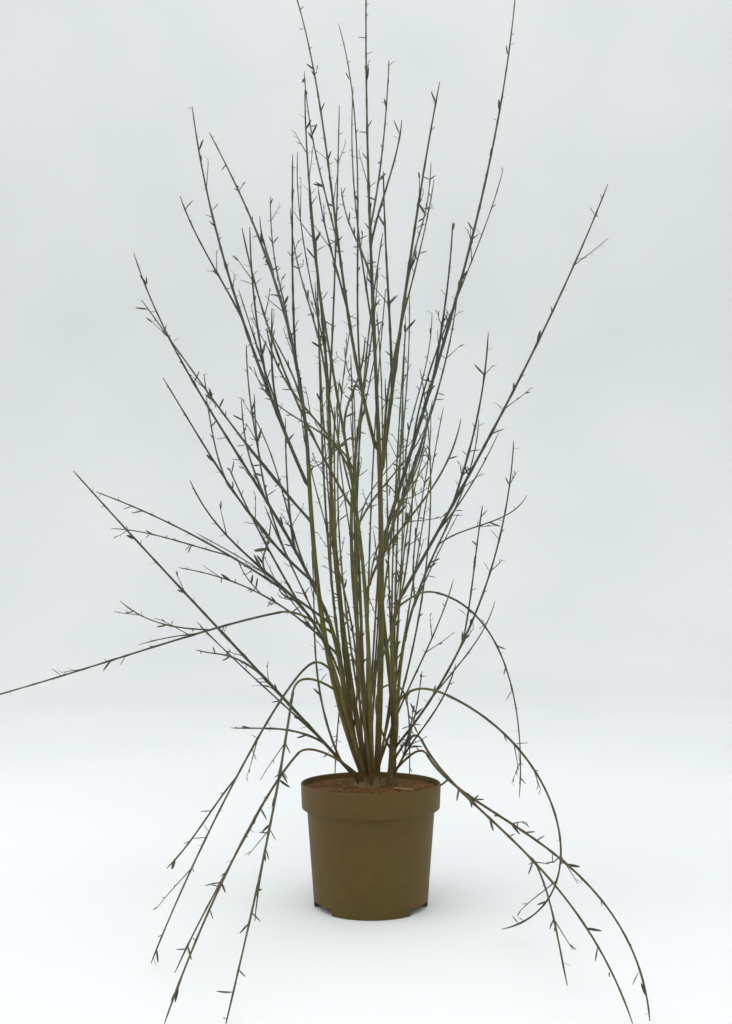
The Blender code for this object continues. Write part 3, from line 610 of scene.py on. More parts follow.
SPRAYS = (
    Spray("top_centre", "bough_centre", 1, (-0.008, 0.020, 1.790), 91, 0.0060,
          ((0.42, (0.040, 0.140, 1.673), 82), (0.38, (0.057, -0.100, 1.407), 80),
           (0.30, (-0.062, 0.200, 1.420), 74))),
    Spray("top_left", "bough_centre", 0.95, (-0.160, 0.100, 1.810), 72, 0.0060,
          ((0.40, (-0.146, 0.240, 1.710), 80), (0.26, (-0.098, -0.060, 1.300), 78)), 14),
    Spray("top_right", "bough_centre", 0.88, (0.124, -0.140, 1.458), 72, 0.0064,
          ((0.44, (0.134, 0.240, 1.497), 76), (0.20, (0.020, -0.260, 1.230), 80)), 14),
    Spray("inner_left", "bough_centre_left", 1, (-0.117, -0.160, 1.431), 88, 0.0050,
          ((0.10, (-0.064, 0.120, 1.560), 86), (0.16, (-0.175, 0.260, 1.400), 82))),
    Spray("left_tall", "bough_left", 1, (-0.347, 0.200, 1.545), 56, 0.0058,
          ((0.30, (-0.227, 0.330, 1.460), 82), (0.22, (-0.136, -0.180, 1.300), 88),
           (0.46, (-0.226, 0.120, 1.320), 84))),
    Spray("left_outer", "bough_left", 0.94, (-0.339, -0.040, 1.467), 82, 0.0052,
          ((0.42, (-0.334, -0.160, 1.234), 64), (0.16, (-0.165, -0.220, 1.010), 84),
           (0.24, (-0.206, -0.200, 1.160), 84)), 20),
    Spray("left_wide", "bough_left", 0.82, (-0.470, 0.150, 1.152), 50, 0.0044,
          ((0.45, (-0.358, 0.260, 1.026), 62), (0.25, (-0.250, 0.120, 1.050), 82)), 42),
    Spray("left_drift", "bough_left", 0.62, (-0.356, -0.160, 0.908), 56, 0.0042,
          ((0.55, (-0.300, -0.050, 0.900), 66), (0.15, (-0.190, -0.240, 0.860), 84)), 46),
    Spray("left_long", "bough_far_left", 1, (-0.447, -0.020, 1.186), 72, 0.0054,
          ((0.30, (-0.270, 0.210, 0.960), 76), (0.16, (-0.170, 0.120, 0.900), 84))),
    Spray("left_level", "bough_far_left", 0.95, (-0.549, 0.140, 0.753), 20, 0.0042,
          ((0.42, (-0.545, 0.250, 0.690), 4),), 34),
    Spray("left_back_low", "bough_far_left", 0.74, (-0.416, 0.320, 0.612), 8, 0.0038,
          ((0.45, (-0.300, 0.400, 0.640), 30),), 38),
    Spray("left_wide_end", "arch_left_wide", 1, (-0.740, -0.020, 0.345), -14, 0.0036,
          ((0.22, (-0.489, 0.120, 0.535), 36),), 30, 0.25),
    Spray("left_low", "bough_left_low", 1, (-0.273, -0.340, 0.704), 56, 0.0048,
          ((0.24, (-0.243, -0.140, 0.755), 66), (0.50, (-0.150, -0.350, 0.640), 56))),
    Spray("left_long_low", "trunk_crown", 0.60, (-0.522, -0.100, 0.757), 48, 0.0050,
          ((0.34, (-0.342, 0.140, 0.440), 8), (0.12, (-0.262, 0.070, 0.297), 0),
           (0.06, (-0.120, 0.200, 0.640), 70)), 42),
    Spray("basal_left", "trunk_crown", 0.80, (-0.113, 0.160, 1.292), 86, 0.0048,
          ((0.08, (-0.150, 0.260, 0.960), 80), (0.05, (-0.060, -0.240, 0.840), 76),
           (0.14, (-0.190, -0.060, 0.700), 62)), 24),
    Spray("basal_middle", "trunk_crown", 0.80, (0.020, -0.200, 1.150), 86, 0.0046,
          ((0.06, (-0.040, 0.200, 1.120), 86), (0.10, (-0.030, -0.120, 0.900), 84),
           (0.16, (0.070, -0.180, 0.760), 76)), 16),
    Spray("basal_right", "trunk_right", 0.42, (0.082, 0.360, 1.190), 82, 0.0044,
          ((0.08, (0.060, -0.160, 1.000), 86), (0.05, (0.110, 0.160, 0.840), 82),
           (0.12, (0.030, 0.120, 0.980), 86)), 18),
    Spray("hang_left_high", "arch_left_high", 1, (-0.312, -0.345, 0.014), -58, 0.0036,
          ((0.45, (-0.312, -0.250, 0.120), -42),), 30, 0.08),
    Spray("hang_left_middle", "arch_left_middle", 1, (-0.177, -0.548, 0.012), -36, 0.0036,
          ((0.16, (-0.178, -0.240, 0.040), -88),), 30, 0.42),
    Spray("hang_left_low", "arch_left_low", 1, (-0.251, -0.548, 0.012), -46, 0.0036,
          ((0.30, (-0.262, -0.430, 0.030), -50),), 30, 0.24),
    Spray("right_tall", "bough_right_inner", 1, (0.304, 0.100, 1.804), 84, 0.0062,
          ((0.26, (0.150, -0.080, 1.220), 80),)),
    Spray("right_inner", "bough_right_inner", 0.88, (0.194, 0.260, 1.236), 80, 0.0046,
          ((0.22, (0.142, 0.360, 1.195), 84),), 24),
    Spray("right_wide", "bough_right", 1, (0.431, -0.100, 1.284), 68, 0.0050,
          ((0.22, (0.190, -0.250, 0.960), 78),)),
    Spray("right_low", "trunk_right", 0.74, (0.239, -0.180, 0.795), 82, 0.0042,
          ((0.40, (0.200, -0.060, 0.700), 76),), 44),
    Spray("right_back", "bough_right_back", 1, (0.243, 0.340, 0.944), 82, 0.0044,
          ((0.14, (0.139, 0.380, 0.960), 86), (0.40, (0.330, 0.240, 0.760), 62))),
    Spray("right_shoot", "trunk_right", 0.20, (0.136, -0.200, 0.425), 62, 0.0030,
          ((0.20, (0.070, -0.110, 0.340), 72), (0.10, (0.100, 0.120, 0.400), 60)), 38),
    Spray("hang_right_high", "arch_right_high", 1, (0.290, 0.160, 0.154), -98, 0.0034),
    Spray("hang_right_middle", "arch_right_middle", 1, (0.203, -0.205, 0.018), -160, 0.0036, (), 30, 0.66),
    Spray("hang_right_low", "arch_right_low", 1, (0.312, -0.548, 0.012), -60, 0.0038,
          ((0.60, (0.258, -0.430, 0.014), -70),), 30, 0.26),
    Spray("hang_right_front", "arch_right_front", 1, (0.335, -0.540, 0.012), -86, 0.0036, (), 30, 0.26),
    Spray("back_middle", "bough_back", 1, (0.020, 0.430, 1.330), 78, 0.0050,
          ((0.10, (-0.272, 0.440, 1.091), 70), (0.40, (-0.060, 0.480, 1.150), 80),
           (0.20, (-0.150, 0.500, 0.890), 64))),
    Spray("back_right", "bough_back", 0.86, (0.150, 0.480, 1.020), 70, 0.0044,
          ((0.35, (0.090, 0.520, 0.800), 60),)),
    Spray("front_middle", "bough_front", 1, (-0.100, -0.300, 1.187), 84, 0.0050,
          ((0.12, (-0.206, -0.300, 1.116), 76), (0.24, (-0.154, -0.400, 0.920), 74),
           (0.34, (-0.010, -0.420, 0.900), 74))),
    Spray("front_right", "bough_front", 0.86, (0.131, -0.380, 0.789), 70, 0.0042,
          ((0.30, (0.079, -0.420, 0.780), 74),)),
    Spray("hang_back_left", "arch_back_left", 1, (-0.080, 0.480, 0.120), -82, 0.0034, (), 30, 0.20),
    Spray("hang_back_right", "arch_back_right", 1, (0.090, 0.460, 0.080), -82, 0.0034, (), 30, 0.20),
)
print("sprays:", len(SPRAYS))

# %% [markdown]
# ## A limb's line
#
# A limb is kept as the points of its middle line, with the direction and the radius at each. A curve
# object could hold the same, but a plain list can be asked where a share of the length lies, and can be
# cut into shorter pieces for a smoother tube.

# %% A limb's points
BALL_STEP = 0.004


class Route:
    """A limb's middle line: points from its foot to its tip, with its direction and radius at each.

    One corner of its foot faces the way given, so that the limb meets its parent by that corner.
    """

    def __init__(self, points, ways, pulls, thick, thin, facing):
        self.ways = ways
        self.pulls = pulls
        self.thick = thick
        self.thin = thin
        self.facing = facing
        self.place(points)
        self.radii = [(thick + (thin - thick) * mark / self.length) / 2 for mark in self.marks]

    def place(self, points):
        """Takes the points and measures how far along the limb each lies."""
        self.points = points
        lengths = [(b - a).length for a, b in zip(points, points[1:])]
        self.marks = [sum(lengths[:i]) for i in range(len(points))]
        self.length = self.marks[-1]

    def spot(self, share):
        """The point, direction and radius at a share of the length."""
        mark = share * self.length
        last = len(self.points) - 2
        index = min(last, sum(1 for m in self.marks[1:] if m < mark))
        start, end = self.points[index], self.points[index + 1]
        part = (mark - self.marks[index]) / (self.marks[index + 1] - self.marks[index])
        radius = self.radii[index] + (self.radii[index + 1] - self.radii[index]) * part
        way = self.ways[index].lerp(self.ways[index + 1], part).normalized()
        return start.lerp(end, part), way, radius

    def balls(self, start=0.0):
        """Balls along the limb from a distance up it, for telling how near another limb comes."""
        count = max(2, round((self.length - start) / BALL_STEP))
        shares = [(start + (self.length - start) * i / count) / self.length for i in range(count + 1)]
        return [(point, radius) for point, _, radius in map(self.spot, shares)]

    def finer(self, piece):
        """The same curve in short pieces, for a smooth tube."""
        count = max(3, round(self.length / piece))
        points, ways = along_pulls(self.pulls, count)
        ways[0] = self.ways[0]
        return Route(points, ways, self.pulls, self.thick, self.thin, self.facing)


# %% Smooth curves
UP = Vector((0, 0, 1))
LEAST_PIECES = 4  # straight pieces in a limb, with more for each radian that it turns through
PIECES_PER_TURN = 6


def along_pulls(pulls, count):
    """Points and directions of a curve with four pulls, in a number of pieces."""
    foot, near, far, tip = pulls
    points, ways = [], []
    for i in range(count + 1):
        t = i / count
        s = 1 - t
        points.append(foot * s**3 + near * 3 * s * s * t + far * 3 * s * t * t + tip * t**3)
        way = (near - foot) * s * s + (far - near) * 2 * s * t + (tip - far) * t * t
        ways.append(way.normalized())
    return points, ways


def curve(foot, setting_off, tip, arriving, bow, near_pull=None):
    """Points, directions and pulls of the smooth curve between a foot and a tip with given directions.

    The pulls are those of a circle's arc with the same turn, unless the near one is given.
    """
    across = tip - foot
    turn = max(0.2, setting_off.angle(arriving))
    pull = 2 / 3 * math.tan(turn / 4) / math.sin(turn / 2)
    sideways = across.cross(UP)
    sideways = sideways.normalized() if sideways.length > 0.01 else Vector((1, 0, 0))
    near = foot + setting_off * across.length * (near_pull or pull) + sideways * bow
    far = tip - arriving * across.length * pull + sideways * bow
    pulls = (foot, near, far, tip)
    count = round(LEAST_PIECES + PIECES_PER_TURN * turn * math.sqrt(across.length))
    points, ways = along_pulls(pulls, count)
    ways[0] = setting_off
    return points, ways, pulls


# %% [markdown]
# ## Room between the limbs
#
# Real wands grow apart, and solids that overlap would spoil the part. Each limb fills the space round it
# with small balls, and a new one is bowed to one side or the other until it is clear of the balls of the
# rest. A physics run would part them too, but would move them from the places that the tables give.

# %% The space that is taken
class Room:
    """The space that the nodes take, as balls filed by the cube that they lie in."""

    CUBE = 0.016

    def __init__(self):
        self.cubes = defaultdict(list)

    def key(self, point):
        """The cube that a point lies in."""
        return tuple(math.floor(c / self.CUBE) for c in point)

    def take(self, node, balls):
        """Files the balls that fill a node."""
        for point, radius in balls:
            self.cubes[self.key(point)].append((point, radius, node))

    def nearest(self, balls, spared):
        """The least space between these balls and those of nodes that aren't spared."""
        least = self.CUBE
        for point, radius in balls:
            x, y, z = self.key(point)
            for i in (x - 1, x, x + 1):
                for j in (y - 1, y, y + 1):
                    for k in (z - 1, z, z + 1):
                        for other, other_radius, node in self.cubes.get((i, j, k), ()):
                            if node not in spared:
                                space = (point - other).length - radius - other_radius
                                least = min(least, space)
        return least


# %% The freest way
CLEARANCE = 0.0022  # kept between the wands, twigs and leaves of different nodes
NEAR_FOOT = 0.035  # a limb may be close to its parent over this first stretch
# Sideways bows tried in turn until a limb is clear of the others
BOWS = (0, 0.008, -0.008, 0.016, -0.016, 0.026, -0.026, 0.038, -0.038, 0.05, -0.05)


def freest(node, parent, room, make_route):
    """The first of the sideways bows that keeps the limb clear of the others, or else the freest."""
    best, best_space = None, -1.0
    for bow in BOWS:
        route = make_route(bow)
        space = room.nearest(route.balls(NEAR_FOOT), {node})
        space = min(space, room.nearest(route.balls(), {node, parent}))
        if space >= CLEARANCE:
            return route
        if space > best_space:
            best, best_space = route, space
    return best


# %% [markdown]
# ## Where a limb stands
#
# A branch leaves its parent's side at an angle, or carries its end on, and the boughs of the crown stand
# in a ring on its flat top. Each foot could be placed by hand, but then every change to a parent would
# leave feet in the air. So a foot is worked out from the parent's own line and radius.

# %% Directions and feet
def at_bearing(angle):
    """The level direction at an angle from +X."""
    return Vector((math.cos(angle), math.sin(angle), 0))


def level_way(start, end):
    """The level direction from one point towards another."""
    return Vector((end.x - start.x, end.y - start.y, 0)).normalized()


def arrival(start, end, pitch):
    """The level direction from one point towards another, raised to a pitch."""
    angle = math.radians(pitch)
    return level_way(start, end) * math.cos(angle) + UP * math.sin(angle)


def foot_on_limb(parent, place, tip, radius, spread):
    """Where a limb leaves its parent's side or end, the way it sets off and the way its foot faces."""
    point, along, _ = parent.spot(place)
    if place >= 1:
        return point + along * GAP, along, along.orthogonal()
    side = tip - point
    side = (side - along * side.dot(along)).normalized()
    angle = math.radians(spread)
    heading = along * math.cos(angle) + side * math.sin(angle)
    _, _, parent_radius = parent.spot(min(1, place + radius * math.sin(angle) / parent.length))
    return point + side * (parent_radius + GAP + radius * math.cos(angle)), heading, -side


def foot_on_crown(crown, seat, tip, radius, spread):
    """A seat on the crown's flat top, with a first direction that leans out towards the tip."""
    top = crown.points[-1]
    ring = at_bearing(math.radians(seat)) * SEAT_RING
    lean = math.radians(spread)
    outwards = level_way(top, tip)
    heading = UP * math.cos(lean) + outwards * math.sin(lean)
    return top + ring + UP * (GAP + radius * math.sin(lean)), heading, outwards


# %% Boughs, wands and forks
ROUND_TO_FLAT = 1.2  # the plain solids' wands have three sides, and are as much wider
WAND_END = 0.0018  # diameter at a wand's tip
FORK_THICK = 0.78  # a fork's foot against the wand it leaves
FORK_LEAN = 0.45  # sideways share of the direction a fork sets off in


def bough_route(bough, routes, room):
    """The route of a bough, clear of those before it."""
    tip = Vector(bough.tip)
    parent, radius = routes[bough.parent], bough.thick / 2
    if bough.seat is None:
        foot, heading, facing = foot_on_limb(parent, bough.place, tip, radius, bough.spread)
    else:
        foot, heading, facing = foot_on_crown(parent, bough.seat, tip, radius, bough.spread)
    next_tip = next(Vector(spray.tip) for spray in SPRAYS if spray.parent == bough.name)
    arriving = arrival(tip, next_tip, bough.pitch)

    def bowed(bow):
        return Route(*curve(foot, heading, tip, arriving, bow), bough.thick, bough.thin, facing)

    return freest(bough.name, bough.parent, room, bowed)


def wand_route(spray, routes, room):
    """The route of a spray's main wand, from its bough or trunk."""
    tip = Vector(spray.tip)
    radius = spray.thick / 2 * ROUND_TO_FLAT
    foot, heading, facing = foot_on_limb(routes[spray.parent], spray.place, tip, radius, spray.spread)

    def bowed(bow):
        line = curve(foot, heading, tip, arrival(foot, tip, spray.pitch), bow, spray.near)
        return Route(*line, spray.thick, WAND_END, facing)

    return freest(spray.name, spray.parent, room, bowed)


def fork_route(name, main, fork, room):
    """The route of a fork, which starts inside the main wand."""
    place, tip, pitch = fork
    tip = Vector(tip)
    point, along, radius = main.spot(place)
    side = tip - point
    side = (side - along * side.dot(along)).normalized()
    heading = (along + side * FORK_LEAN).normalized()

    def bowed(bow):
        line = curve(point, heading, tip, arrival(point, tip, pitch), bow)
        return Route(*line, 2 * radius * FORK_THICK, WAND_END, side)

    return freest(name, name, room, bowed)


# %% Lay out every limb
TRUNK_RINGS = 12


def trunk_route(place, lean, flare, radius):
    """A trunk's line up from its flat cut, which widens to the root flare."""
    shares = [i / TRUNK_RINGS for i in range(TRUNK_RINGS + 1)]
    points = [place + lean * share for share in shares]
    route = Route(points, [UP] * len(shares), None, 2 * radius, 2 * radius, Vector((0, 1, 0)))
    route.radii = [radius + (flare - radius) * (1 - share) ** 3 for share in shares]
    return route


room = Room()
routes = {
    "trunk_crown": trunk_route(CROWN_PLACE, CROWN_LEAN, CROWN_FLARE, CROWN_RADIUS),
    "trunk_right": trunk_route(STEM_PLACE, STEM_LEAN, STEM_FLARE, STEM_RADIUS),
}
for name, route in routes.items():
    room.take(name, route.balls())
for bough in BOUGHS:
    routes[bough.name] = bough_route(bough, routes, room)
    room.take(bough.name, routes[bough.name].balls())

mains = {}
for spray in SPRAYS:
    mains[spray.name] = wand_route(spray, routes, room)
    room.take(spray.name, mains[spray.name].balls())
wands = {}
for spray in SPRAYS:
    main = mains[spray.name]
    forks = [fork_route(spray.name, main, fork, room) for fork in spray.forks]
    for fork in forks:
        room.take(spray.name, fork.balls())
    wands[spray.name] = [main, *forks]
print("wands:", sum(len(group) for group in wands.values()))

# %% [markdown]
# ## Ribbed stems
#
# Broom wands are finely ribbed along their length, and the old stems at the foot have bark that has
# cracked between the ribs. A curve with a round bevel would be smooth, so each wand is a cylinder cut
# into rings and bent along its line, with every other corner pushed out into a rib. A limb's foot starts
# inside its parent and swells to a collar, because a branch is joined to its stem by shared wood.

# %% Tubes with ribs
SWELL_REACH = 0.012  # a joint's swelling dies away over this length
SWELL = 0.28
# How fast the bark's cracks and lumps change from corner to corner and along, and their seeds
BARK = ((0.9, 160, 0), (0.3, 30, 9))


def ring_turns(route):
    """The turn of the ring at each point, square to the line there and with no twist along it."""
    along = route.ways[0]
    corner = (route.facing - along * route.facing.dot(along)).normalized()
    turns = [Matrix((corner.cross(along), corner, along)).transposed().to_quaternion()]
    for way in route.ways[1:]:
        last = turns[-1]
        turns.append((last @ UP).rotation_difference(way) @ last)
    return turns


def ribbed_tube(route, corners, rib, rough=0.0, seed=0.0, swells=()):
    """A closed cylinder bent along the route, with ribs, a little roughness and swollen joints."""
    pieces = len(route.points) - 1
    bm = bmesh.new()
    bmesh.ops.create_cone(bm, segments=corners, radius1=1, radius2=1, depth=1, cap_ends=True)
    upright = [edge for edge in bm.edges if abs(edge.verts[0].co.z - edge.verts[1].co.z) > 0.5]
    bmesh.ops.subdivide_edges(bm, edges=upright, cuts=pieces - 1)
    turns = ring_turns(route)
    for vert in bm.verts:
        ring = round((vert.co.z + 0.5) * pieces)
        corner = round(math.atan2(vert.co.x, vert.co.y) / (2 * math.pi) * corners) % corners
        radius = route.radii[ring] * (1 + (rib if corner % 2 == 0 else -rib))
        mark = route.marks[ring]
        for swell in swells:
            if abs(mark - swell) < SWELL_REACH:
                radius *= 1 + SWELL * (1 - abs(mark - swell) / SWELL_REACH)
        if rough:
            for around, lengthwise, more in BARK:
                spot = Vector((corner * around, mark * lengthwise, seed + more))
                radius *= 1 + rough * noise.noise(spot)
        vert.co = route.points[ring] + turns[ring] @ (Vector((vert.co.x, vert.co.y, 0)) * radius)
    return bm


# %% Feet and tips
ROOT_REACH = 0.010  # a foot is led back towards its parent's middle by this much at most
ROOT_SINK = 1.6  # and back along it by this share of both radii
ROOT_SEARCH = 200  # places on the parent that are tried
HIDDEN_SHARE = 0.8  # of the parent's radius, which the hidden end stays under
COLLAR = 1.15
TIP_SHARES = (0.55, 0.86)  # the last two rings are drawn in to these


def rooted(route, parent):
    """The route, led back into its parent's wood, so that it grows out of it with a swollen collar."""
    foot, thin = route.points[0], route.radii[0]
    tried = (i / ROOT_SEARCH for i in range(ROOT_SEARCH + 1))
    share = min(tried, key=lambda place: (parent.spot(place)[0] - foot).length)
    middle, way, radius = parent.spot(share)
    inward = middle - foot
    back = way * (radius + thin) * ROOT_SINK
    start = foot + inward.normalized() * min(inward.length, ROOT_REACH) - back
    hidden = min(thin, radius * HIDDEN_SHARE)
    collar = thin * COLLAR
    first = (foot - start).normalized()
    route.radii = [hidden, (hidden + collar) / 2, collar] + route.radii[1:]
    route.ways = [first, first.lerp(route.ways[0], 0.4).normalized()] + route.ways
    route.place([start, start.lerp(foot, 0.5)] + route.points)
    return route


def rounded(route):
    """The route with its tip drawn in, so that it doesn't end in a flat disc."""
    for back, share in enumerate(TIP_SHARES, 1):
        route.radii[-back] *= share
    return route


# %% Trunks and boughs
TRUNK_CORNERS, TRUNK_RIB, TRUNK_ROUGH = 48, 0.02, 0.05
BOUGH_CORNERS, BOUGH_RIB, BOUGH_ROUGH = 24, 0.05, 0.06
BOUGH_STEP = 0.006
ROOT_LOBES, LOBE_SIZE = 5, 0.10


def flared_trunk(route, seed):
    """A trunk with root lobes at its foot and cracked bark above, cut level at both ends."""
    bm = ribbed_tube(route, TRUNK_CORNERS, TRUNK_RIB, TRUNK_ROUGH, seed)
    foot = route.points[0]
    for vert in bm.verts:
        rise = (vert.co.z - foot.z) / (route.points[-1].z - foot.z)
        lobes = math.sin(ROOT_LOBES * math.atan2(vert.co.y - foot.y, vert.co.x - foot.x) + seed)
        grow = 1 + LOBE_SIZE * lobes * max(0.0, 1 - rise) ** 2
        vert.co.x = foot.x + (vert.co.x - foot.x) * grow
        vert.co.y = foot.y + (vert.co.y - foot.y) * grow
    return bm


stems = [new_object("stem", flared_trunk(routes[name], index * 1.3))
         for index, name in enumerate(("trunk_crown", "trunk_right"))]
for index, bough in enumerate(BOUGHS):
    fine = rounded(rooted(routes[bough.name].finer(BOUGH_STEP), routes[bough.parent]))
    stems.append(new_object("stem", ribbed_tube(fine, BOUGH_CORNERS, BOUGH_RIB, BOUGH_ROUGH, index)))
old_stems = join_as("ribbed_stems", stems, olive_rind)
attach(old_stems, "root")
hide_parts("trunk_crown", "trunk_right", *[bough.name for bough in BOUGHS])
print("stem faces:", len(old_stems.data.polygons))

# %% [markdown]
# ## Leaves
#
# The leaves are few, small and narrow, and soon fall. A flat card would do from afar, but it vanishes
# when seen on edge, so a leaf is a ball drawn out to a lance, flattened, folded along its midrib and
# curled. Three such leaves of a few dozen faces are enough, because each is turned and sized anew.

# %% Three leaves
LEAF_FACETS = 6
LEAF_LIFT = 0.12  # a leaf's thickness, fold and curl are measured in this share of its length
LEAF_FLAT = 0.30  # thickness against width in the leaf's own mesh
LEAF_CURVES = ((0.25, 0.3), (0.45, 0.9), (0.3, -0.5))  # each leaf's fold and curl


def leaf_mesh(fold, curl):
    """A lance-shaped leaf one unit long on +Z, folded along its midrib and curled outwards."""
    bm = bmesh.new()
    bmesh.ops.create_uvsphere(bm, u_segments=LEAF_FACETS, v_segments=LEAF_FACETS, radius=0.5)
    for vert in bm.verts:
        along = vert.co.z + 0.5
        ring = max(1e-6, math.sqrt(max(0.0, 0.25 - vert.co.z**2)))
        lance = 0.5 * math.sin(math.pi * along**0.85) ** 0.5 if 0.001 < along < 0.999 else 0.0
        x = vert.co.x / ring * lance
        y = vert.co.y / ring * lance * LEAF_FLAT + abs(x) * fold + curl * along**2
        vert.co = (x, y, along)
    mesh = new_mesh("leaf", bm)
    mesh.shade_smooth()
    return mesh


leaf_meshes = [leaf_mesh(fold, curl) for fold, curl in LEAF_CURVES]
Leaf = namedtuple("Leaf", "root heading across length mark")


def place_leaf(leaf, length, width, which):
    """A leaf on its root, with its flat side turned across the wand."""
    normal = leaf.heading.cross(leaf.across)
    axes = (leaf.across * length * width, normal * length * LEAF_LIFT, leaf.heading * length)
    place = Matrix(axes).transposed().to_4x4()
    place.translation = leaf.root
    return copy_of(leaf_meshes[which], place)


print("faces of a leaf:", len(leaf_meshes[0].polygons))

# %% [markdown]
# ## The rule for leaves and twigs
#
# Leaves sit singly at a wand's joints, each a golden turn round from the last, and a short twig leaves
# some joints. Leaves could be strewn at random, but then they would bunch up on one side. The dice start
# from each spray's name, as for the solids, so the same leaves come out in the same places.

# %% Directions beside a wand
BALL_SHARES, BALL_RADIUS = (0.4, 0.7, 1.0), 0.0015


def side_way(along, turn):
    """A direction square to a line, at a turn round it."""
    return Quaternion(along, turn) @ along.orthogonal().normalized()


def slanted(along, side, angles, dice):
    """A direction that leaves a wand to one side, at an angle dealt in degrees."""
    slant = math.radians(dice.uniform(*angles))
    return (along * math.cos(slant) + side * math.sin(slant)).normalized()


def leaf_balls(root, heading, length):
    """Balls along a leaf or twig, beyond the part that is sunk in."""
    return [(root + heading * length * share, BALL_RADIUS) for share in BALL_SHARES]


# %% A short twig
LEAF_LENGTH = (0.013, 0.024)
TWIG_LENGTH = (0.022, 0.060)
TWIG_SPREAD = (24, 40)
TWIG_LEAF_PLACE, TWIG_LEAF_LEAN = 0.8, 0.7


def short_twig(name, point, along, side, dice, room):
    """A short twig with a leaf near its end, or nothing where there is no room for it."""
    length = dice.uniform(*TWIG_LENGTH)
    heading = slanted(along, side, TWIG_SPREAD, dice)
    balls = leaf_balls(point, heading, length)
    if room.nearest(balls, {name}) < CLEARANCE:
        return [], []
    room.take(name, balls)
    leaves = []
    root = point + heading * length * TWIG_LEAF_PLACE
    leaf_heading = (heading + side * TWIG_LEAF_LEAN).normalized()
    size = LEAF_LENGTH[0]
    if room.nearest(leaf_balls(root, leaf_heading, size), {name}) > CLEARANCE:
        leaves.append(Leaf(root, leaf_heading, heading.cross(side).normalized(), size, None))
    return leaves, [(point, heading, length)]


# %% Leaves and twigs in turn
LEAF_SPREAD = (38, 68)
LEAF_STEP = (0.085, 0.190)
LEAFLESS_FOOT = 0.22  # share of a wand with no leaves
TWIG_CHANCE = 0.16
TWIG_LAST = 0.9  # share of a wand beyond which it has no twigs
GOLDEN_TURN = math.radians(137.5)


def dress(name, wand, dice, room):
    """Leaves and short twigs in turn round a wand, each left out where another node is too near."""
    leaves, twigs = [], []
    mark = wand.length * LEAFLESS_FOOT + dice.uniform(0, LEAF_STEP[0])
    turn = dice.uniform(0, 2 * math.pi)
    while mark < wand.length:
        point, along, _ = wand.spot(mark / wand.length)
        side = side_way(along, turn)
        across = along.cross(side)
        length = dice.uniform(*LEAF_LENGTH)
        heading = slanted(along, side, LEAF_SPREAD, dice)
        if room.nearest(leaf_balls(point, heading, length), {name}) > CLEARANCE:
            leaves.append(Leaf(point, heading, across, length, mark))
            room.take(name, leaf_balls(point, heading, length))
        if dice.random() < TWIG_CHANCE and mark < wand.length * TWIG_LAST:
            more_leaves, more_twigs = short_twig(name, point, along, -side, dice, room)
            leaves += more_leaves
            twigs += more_twigs
        turn += GOLDEN_TURN
        mark += dice.uniform(*LEAF_STEP)
    return leaves, twigs


dressed = {}
for spray in SPRAYS:
    dice = random.Random(spray.name)
    dressed[spray.name] = [dress(spray.name, wand, dice, room) for wand in wands[spray.name]]
print("leaves of the rule:", sum(len(leaves) for group in dressed.values() for leaves, _ in group))

# %% [markdown]
# ## Finer growth
#
# The plain solids leave out the smallest leaves, the finest twigs and the thinnest wands. A second pass
# of the same rule adds them with its own dice, in shorter steps, so that the first leaves stay where they
# are. Each twig bends up towards its wand's direction, as growth turns to the light.

# %% A fine twig
FINE_TWIG_LEAVES = (0.45, 0.75, 0.97)  # shares of a twig that have a leaf
TWIG_LEAF_LENGTH = (0.007, 0.012)
TWIG_BEND = 0.35  # how much a twig turns up towards its wand's direction
TWIG_TAPER = 0.5


def twig_route(point, along, heading, length, thick):
    """A twig that sets off to the side and bends up along its wand."""
    tip = point + heading * length
    arriving = (heading + along * TWIG_BEND).normalized()
    return Route(*curve(point, heading, tip, arriving, 0.0), thick, thick * TWIG_TAPER, along.orthogonal())


def twig_leaves(twig, dice):
    """The few leaves of a fine twig."""
    leaves = []
    for share in FINE_TWIG_LEAVES:
        root, along, _ = twig.spot(share)
        off = side_way(along, dice.uniform(0, 2 * math.pi))
        length = dice.uniform(*TWIG_LEAF_LENGTH)
        leaves.append(Leaf(root, (along + off).normalized(), along.cross(off), length, None))
    return leaves


# %% Small leaves and fine twigs
FINE_LEAF_STEP = (0.030, 0.070)
FINE_LEAF_LENGTH = (0.008, 0.019)
FINE_LEAF_SPREAD = (34, 80)
FINE_TWIG_CHANCE = 0.13
FINE_TWIG_LENGTH = (0.025, 0.085)
FINE_TWIG_THICK = 0.0020
FINE_TWIG_SPREAD = (16, 34)
FINE_FOOT, FINE_LAST = 0.8, 0.995  # the first joint against the bare foot's end, and the last one
FINE_SIZES = (1.15, 0.4)  # size of the first small leaves, and how much of it is lost by the tip
FLOOR_CLEAR = 0.006


